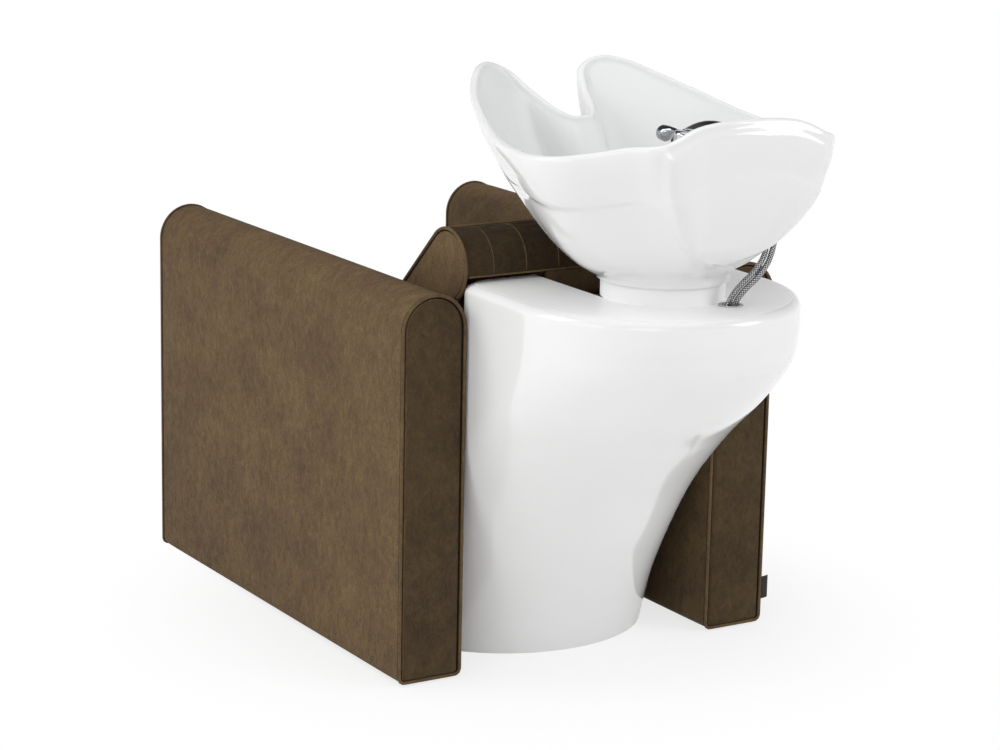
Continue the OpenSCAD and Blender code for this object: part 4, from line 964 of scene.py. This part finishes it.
def back_columns():
    """Places across the pad: x, seam depth, whether pinned."""
    edge, seam_depth, depth = BETWEEN - 0.0075, 0.0052, 0.0040
    bounds = np.concatenate([[-edge], SEAMS, [edge]])
    near = [0.0010, 0.0026, 0.0055, 0.0105, 0.0175]
    out = []
    for a, b in zip(bounds[:-1], bounds[1:]):
        out.append((a, seam_depth, True))
        places = [a + d for d in near] + [(a + b) / 2] + [b - d for d in near[::-1]]
        out += [(x, depth, False) for x in places]
    out.append((edge, seam_depth, True))
    for side in (-1, 1):
        for x in (HORN_SIDE, CHEEK):
            out += [(side * (x - 0.0004), depth, False), (side * (x + 0.0004), depth, False)]
    return sorted(out)


def over_front(low, sink, last, count):
    """Side view of a line up the front face and round the nose, sunk below the skin."""
    face = slab(np.linspace(FRONT_LOW + low, 0, 60)[:-1], NOSE_R - sink)
    return np.vstack([face, nose_arc(90, last, count, NOSE_R - sink)])


def nose_point(turn, sink):
    return nose_arc(turn, turn, 1, NOSE_R - sink)[0]


def across_nose(turn):
    """Straight line across the pad at one place round the nose."""
    return np.column_stack([np.linspace(-CHEEK, CHEEK, 90), np.tile(nose_point(turn, 0.0012), (90, 1))])


def make_backrest():
    ends = [(0.97, 0.2445), (0.80, 0.2444), (0.60, 0.2440), (0.42, 0.2433), (0.28, 0.2424), (0.18, 0.2414),
            (0.135, 0.2408), (0.105, 0.2398), (0.085, 0.2376), (0.066, 0.2364), (0.055, 0.2370)]
    welt_r, seam_r, stitch_r, hem_r, top_r = 0.0029, 0.0010, 0.0008, 0.0016, 0.0020
    deep_x, shallow_x = 0.2392, 0.2366
    rings, pins = [], []

    def ring(x, flat, pinned):
        pins.append(pinned)
        rings.append(stood(flat, 0, x))

    def end_ring(t, x):
        line = back_outline("cheek", 0.2310 if t > 0.1 else 0.2245)[0]
        ring(x, mix(line, back_spine(line), t), np.ones(len(line), bool))

    for t, x in ends:
        end_ring(t, -x)
    for x, depth, pinned in back_columns():
        place = "middle" if abs(x) < HORN_SIDE else ("horn" if abs(x) < CHEEK else "cheek")
        line, pull, soft = back_outline(place)
        ring(x, line + pull * (depth * soft)[:, None], pinned | (soft == 0))
    for t, x in ends[::-1]:
        end_ring(t, x)
    # The pad takes the painted-shadow copy; its end faces keep the plain leatherette.
    piece = loft_piece("backrest_cushion", rings, LEATHER_BACK_SHADOWED, weld=False)
    second_material(piece, LEATHER, lambda face: abs(face.normal.x) > 0.8)
    puff(piece, np.flatnonzero(np.concatenate(pins)), 5.0, 0.0042)
    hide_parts("backrest_pad")
    flat = over_front(0.01, 0.002, -100, 70)
    flat[:, 0] = np.minimum(flat[:, 0], np.where(flat[:, 1] < 0.66, 0.2285, 1))
    welts = [(stood(flat, 0, x), welt_r, 12, False) for x in (0.003 - BETWEEN, BETWEEN - 0.003)]
    cord = tube_piece("backrest_welt", welts, LEATHER_PIPING)
    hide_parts("backrest_piping")
    flat = over_front(0.02, 0.0045, SEAM_TURN, 60)
    lines = [(across_nose(SEAM_TURN), hem_r, 8, False)]
    lines += [(stood(flat, 0, x + 0.0006), stitch_r, 6, False) for x in SEAMS]
    lines.append((across_nose(61), top_r, 8, False))
    # The hem, stitch and top lines take the lighter copy: painted highlight along the ridges.
    tube_piece("backrest_stitching", lines, LEATHER_EDGE_LIT)
    # Thin near-black lines along the pad's side seams: painted shade in the creases.
    deep, shallow = over_front(0.01, 0.0065, -60, 60), over_front(0.01, 0.0035, SEAM_TURN, 60)
    lines = [(stood(flat, 0, side * x), seam_r, 6, False)
             for side in (-1, 1) for flat, x in ((deep, deep_x), (shallow, shallow_x))]
    tube_piece("backrest_seam", lines, SEAM_PAINTED_SHADE)


def make_rear_panel():
    """Plain padded sheet behind the backrest, with a tongue between the pedestal's horns."""
    half, low, lap, sink, depth = 0.217, -0.345, -0.044, 0.0025, 0.010
    cols = np.unique(np.concatenate([np.linspace(-half, half, 50), [-HORN_SIDE + 0.002, HORN_SIDE - 0.002]]))
    hem = nose_point(SEAM_TURN - 2, sink)
    main = slab(np.linspace(lap, low, 40), -NOSE_R + sink)
    hang = [hem, hem + [-0.001, -0.018], hem + [-0.006, -0.038], hem + [-0.022, -0.053], main[0]]
    tongue = evenly(catmull(hang, 8), 24)[:-1]
    rows = np.vstack([tongue, main])
    verts = np.array([(x, *r) for r in rows for x in cols])
    m = len(cols)
    faces = []
    for i in range(len(rows) - 1):
        for j in range(m - 1):
            wide = max(abs(cols[j]), abs(cols[j + 1])) > HORN_SIDE
            if i >= len(tongue) or not wide:
                k = i * m + j
                faces.append((k, k + m, k + m + 1, k + 1))
    # The sheet takes the painted-shadow copy; the lit tongue top keeps the plain leatherette.
    piece = make_piece("rear_panel_padding", verts, faces, LEATHER_BACK_SHADOWED, weld=False)
    second_material(piece, LEATHER, lambda face: face.center.z > 0.62)
    bm = bmesh.new()
    bm.from_mesh(piece.data)
    bmesh.ops.delete(bm, geom=[v for v in bm.verts if not v.link_faces], context="VERTS")
    toward = sum((f.normal for f in bm.faces), Vector())
    if toward.y < 0:
        bmesh.ops.reverse_faces(bm, faces=bm.faces)
    bm.to_mesh(piece.data)
    border = [v.index for v in bm.verts if v.is_boundary]
    bm.free()
    puff(piece, border, 3.0, 0.0035)
    thicken(piece, depth)
    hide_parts("backrest_rear_panel")


make_backrest()
make_rear_panel()


# Seat: a crowned box cushion with piping on both seams, and a padded panel below its front
SEAT_HALF, SEAT_FRONT, SEAT_REAR, SEAT_LOW, SEAT_EDGE = 0.2395, -0.652, -0.157, 0.3455, 0.441
SEAT_WELT_R = 0.0028


def seat_outline(inset, count=180):
    half_x, half_y = SEAT_HALF - inset, (SEAT_REAR - SEAT_FRONT) / 2 - inset
    r = max(0.035 - inset, 0.004)
    a = np.radians(np.arange(0, 91, 6))
    arc = np.stack([half_x - r + r * np.cos(a), half_y - r + r * np.sin(a)], axis=1)
    loop = np.vstack([arc, arc[::-1] * [-1, 1], -arc, arc[::-1] * [1, -1]])
    return evenly(loop, count, closed=True) + [0, (SEAT_REAR + SEAT_FRONT) / 2]


def make_seat():
    low, high = SEAT_LOW, SEAT_EDGE
    reach = 0.232
    under = [(reach * t, low, True) for t in (1, 0.8, 0.6, 0.4, 0.25, 0.12, 0.05)]
    sides = [(0.005, low + 0.002, True), (0.003, low + 0.006, True)]
    sides += [(0.002, z, False) for z in np.linspace(low + 0.010, high - 0.008, 14)]
    sides += [(0.003, high - 0.004, True), (0.006, high - 0.0005, True)]
    top = [(0.009, high + 0.001, False)]
    top += [(reach * t, high + 0.002 + 0.004 * math.sin(math.pi * t / 2), False)
            for t in (0.07, 0.1, 0.14, 0.19, 0.25, 0.32, 0.4, 0.48, 0.56, 0.64, 0.72, 0.8, 0.88, 0.95, 1)]
    rings, pins = [], []
    for inset, z, pinned in under + sides + top:
        flat = seat_outline(inset)
        rings.append(stood(flat, 2, z))
        pins.append(np.full(len(flat), pinned))
    piece = loft_piece("seat_padding", rings, LEATHER_SEAT, weld=False)
    puff(piece, np.flatnonzero(np.concatenate(pins)), 6.0, 0.012, 8.0)
    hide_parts("seat_cushion")
    flat = seat_outline(0.0025, 240)
    welts = [(stood(flat, 2, z), SEAT_WELT_R, 10, True) for z in (high - 0.002, low + 0.004)]
    tube_piece("seat_welt", welts, LEATHER_PIPING)


def make_front_panel():
    half, low, high, face, hem, depth = 0.240, 0.043, 0.324, -0.6475, 0.006, 0.016
    xs, zs = np.linspace(-half, half, 64), np.linspace(low, high, 40)
    verts = np.array([(x, face, z) for z in zs for x in xs])
    m = len(xs)
    faces = [(i * m + j, i * m + j + 1, (i + 1) * m + j + 1, (i + 1) * m + j)
             for i in range(len(zs) - 1) for j in range(m - 1)]
    piece = make_piece("front_padding", verts, faces, LEATHER_SEAT, weld=False)
    if piece.data.polygons[0].normal.y > 0:
        piece.data.flip_normals()
    edge = (np.abs(verts[:, 0]) > half - hem) | (verts[:, 2] < low + hem) | (verts[:, 2] > high - hem)
    puff(piece, np.flatnonzero(edge), 3.0, 0.006)
    thicken(piece, depth)
    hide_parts("front_panel")
    corners = [(-half, low), (half, low), (half, high), (-half, high)]
    loop = stood(evenly(corners, 300, closed=True), 1, face)
    tube_piece("front_welt", [(loop, SEAT_WELT_R, 10, True)], LEATHER_PIPING)


make_seat()
make_front_panel()


# Light and stage
def area_light(name, place, aim, size, power):
    data = bpy.data.lights.new(name, "AREA")
    data.shape = "RECTANGLE"
    data.size, data.size_y = size
    data.energy = power
    lamp = bpy.data.objects.new(name, data)
    scene.collection.objects.link(lamp)
    lamp.location = place
    lamp.rotation_euler = (Vector(aim) - Vector(place)).to_track_quat("-Z", "Y").to_euler()


def set_stage():
    middle, basin_side = (0, 0.1, 0.4), (0, 0.3, 0.5)
    area_light("top_box", (0.3, 0.6, 3.2), middle, (2.6, 2.0), 20)
    area_light("left_box", (2.9, -0.9, 2.5), middle, (1.6, 2.0), 36)
    area_light("front_box", (2.5, 3.6, 2.1), basin_side, (1.8, 1.6), 23)
    area_light("fill_box", (1.9, 0.8, 1.35), (0, 0.25, 0.65), (0.8, 0.8), 3.5)
    area_light("right_box", (-2.4, 2.6, 2.2), basin_side, (1.4, 1.6), 33)
    world = bpy.data.worlds.new("studio")
    scene.world = world
    world.use_nodes = True
    tree = world.node_tree
    tree.nodes.clear()
    path = add(tree, "LightPath")
    white = add(tree, "Background", {"Color": (1, 1, 1, 1), "Strength": 1.0})
    soft = add(tree, "Background", {"Color": (1, 1, 1, 1), "Strength": 0.55})
    height = add(tree, "SeparateXYZ", {0: add(tree, "TexCoord").outputs["Generated"]}).outputs["Z"]
    room = ramp(tree, height, [(0.0, 0.85), (0.18, 0.62), (0.42, 0.08), (1.0, 0.03)])
    gloss = add(tree, "Background", {"Color": room, "Strength": 1.0})
    both = add(tree, "MixShader", {0: path.outputs["Is Glossy Ray"], 1: soft.outputs[0], 2: gloss.outputs[0]})
    both = add(tree, "MixShader", {0: path.outputs["Is Camera Ray"], 1: both.outputs[0], 2: white.outputs[0]})
    add(tree, "OutputWorld", {0: both.outputs[0]})
    bpy.ops.mesh.primitive_plane_add(size=60, location=(0, 0, 0))
    floor = bpy.context.object
    floor.name = "floor"
    material = bpy.data.materials.new("floor")
    material.use_nodes = True
    tree = material.node_tree
    tree.nodes.clear()
    path = add(tree, "LightPath")
    seen = math_node(tree, "MAXIMUM", path.outputs["Is Camera Ray"], path.outputs["Is Glossy Ray"])
    away = add(tree, "VectorMath", {0: add(tree, "TexCoord").outputs["Object"]}, operation="LENGTH")
    far = add(tree, "MapRange", {"Value": away.outputs["Value"], "From Min": 0.35, "From Max": 0.8},
              interpolation_type="SMOOTHSTEP")
    paper = add(tree, "BsdfDiffuse", {"Color": (0.90, 0.90, 0.90, 1)})
    glow = add(tree, "Emission", {"Color": (1, 1, 1, 1), "Strength": 1.0})
    lift = ranged(tree, far.outputs["Result"], 0, 1, 0.74, 1)
    share = math_node(tree, "MULTIPLY", lift, seen)
    both = add(tree, "MixShader", {0: share, 1: paper.outputs[0], 2: glow.outputs[0]})
    add(tree, "OutputMaterial", {0: both.outputs[0]})
    floor.data.materials.append(material)


set_stage()
scene.view_settings.view_transform = "Standard"
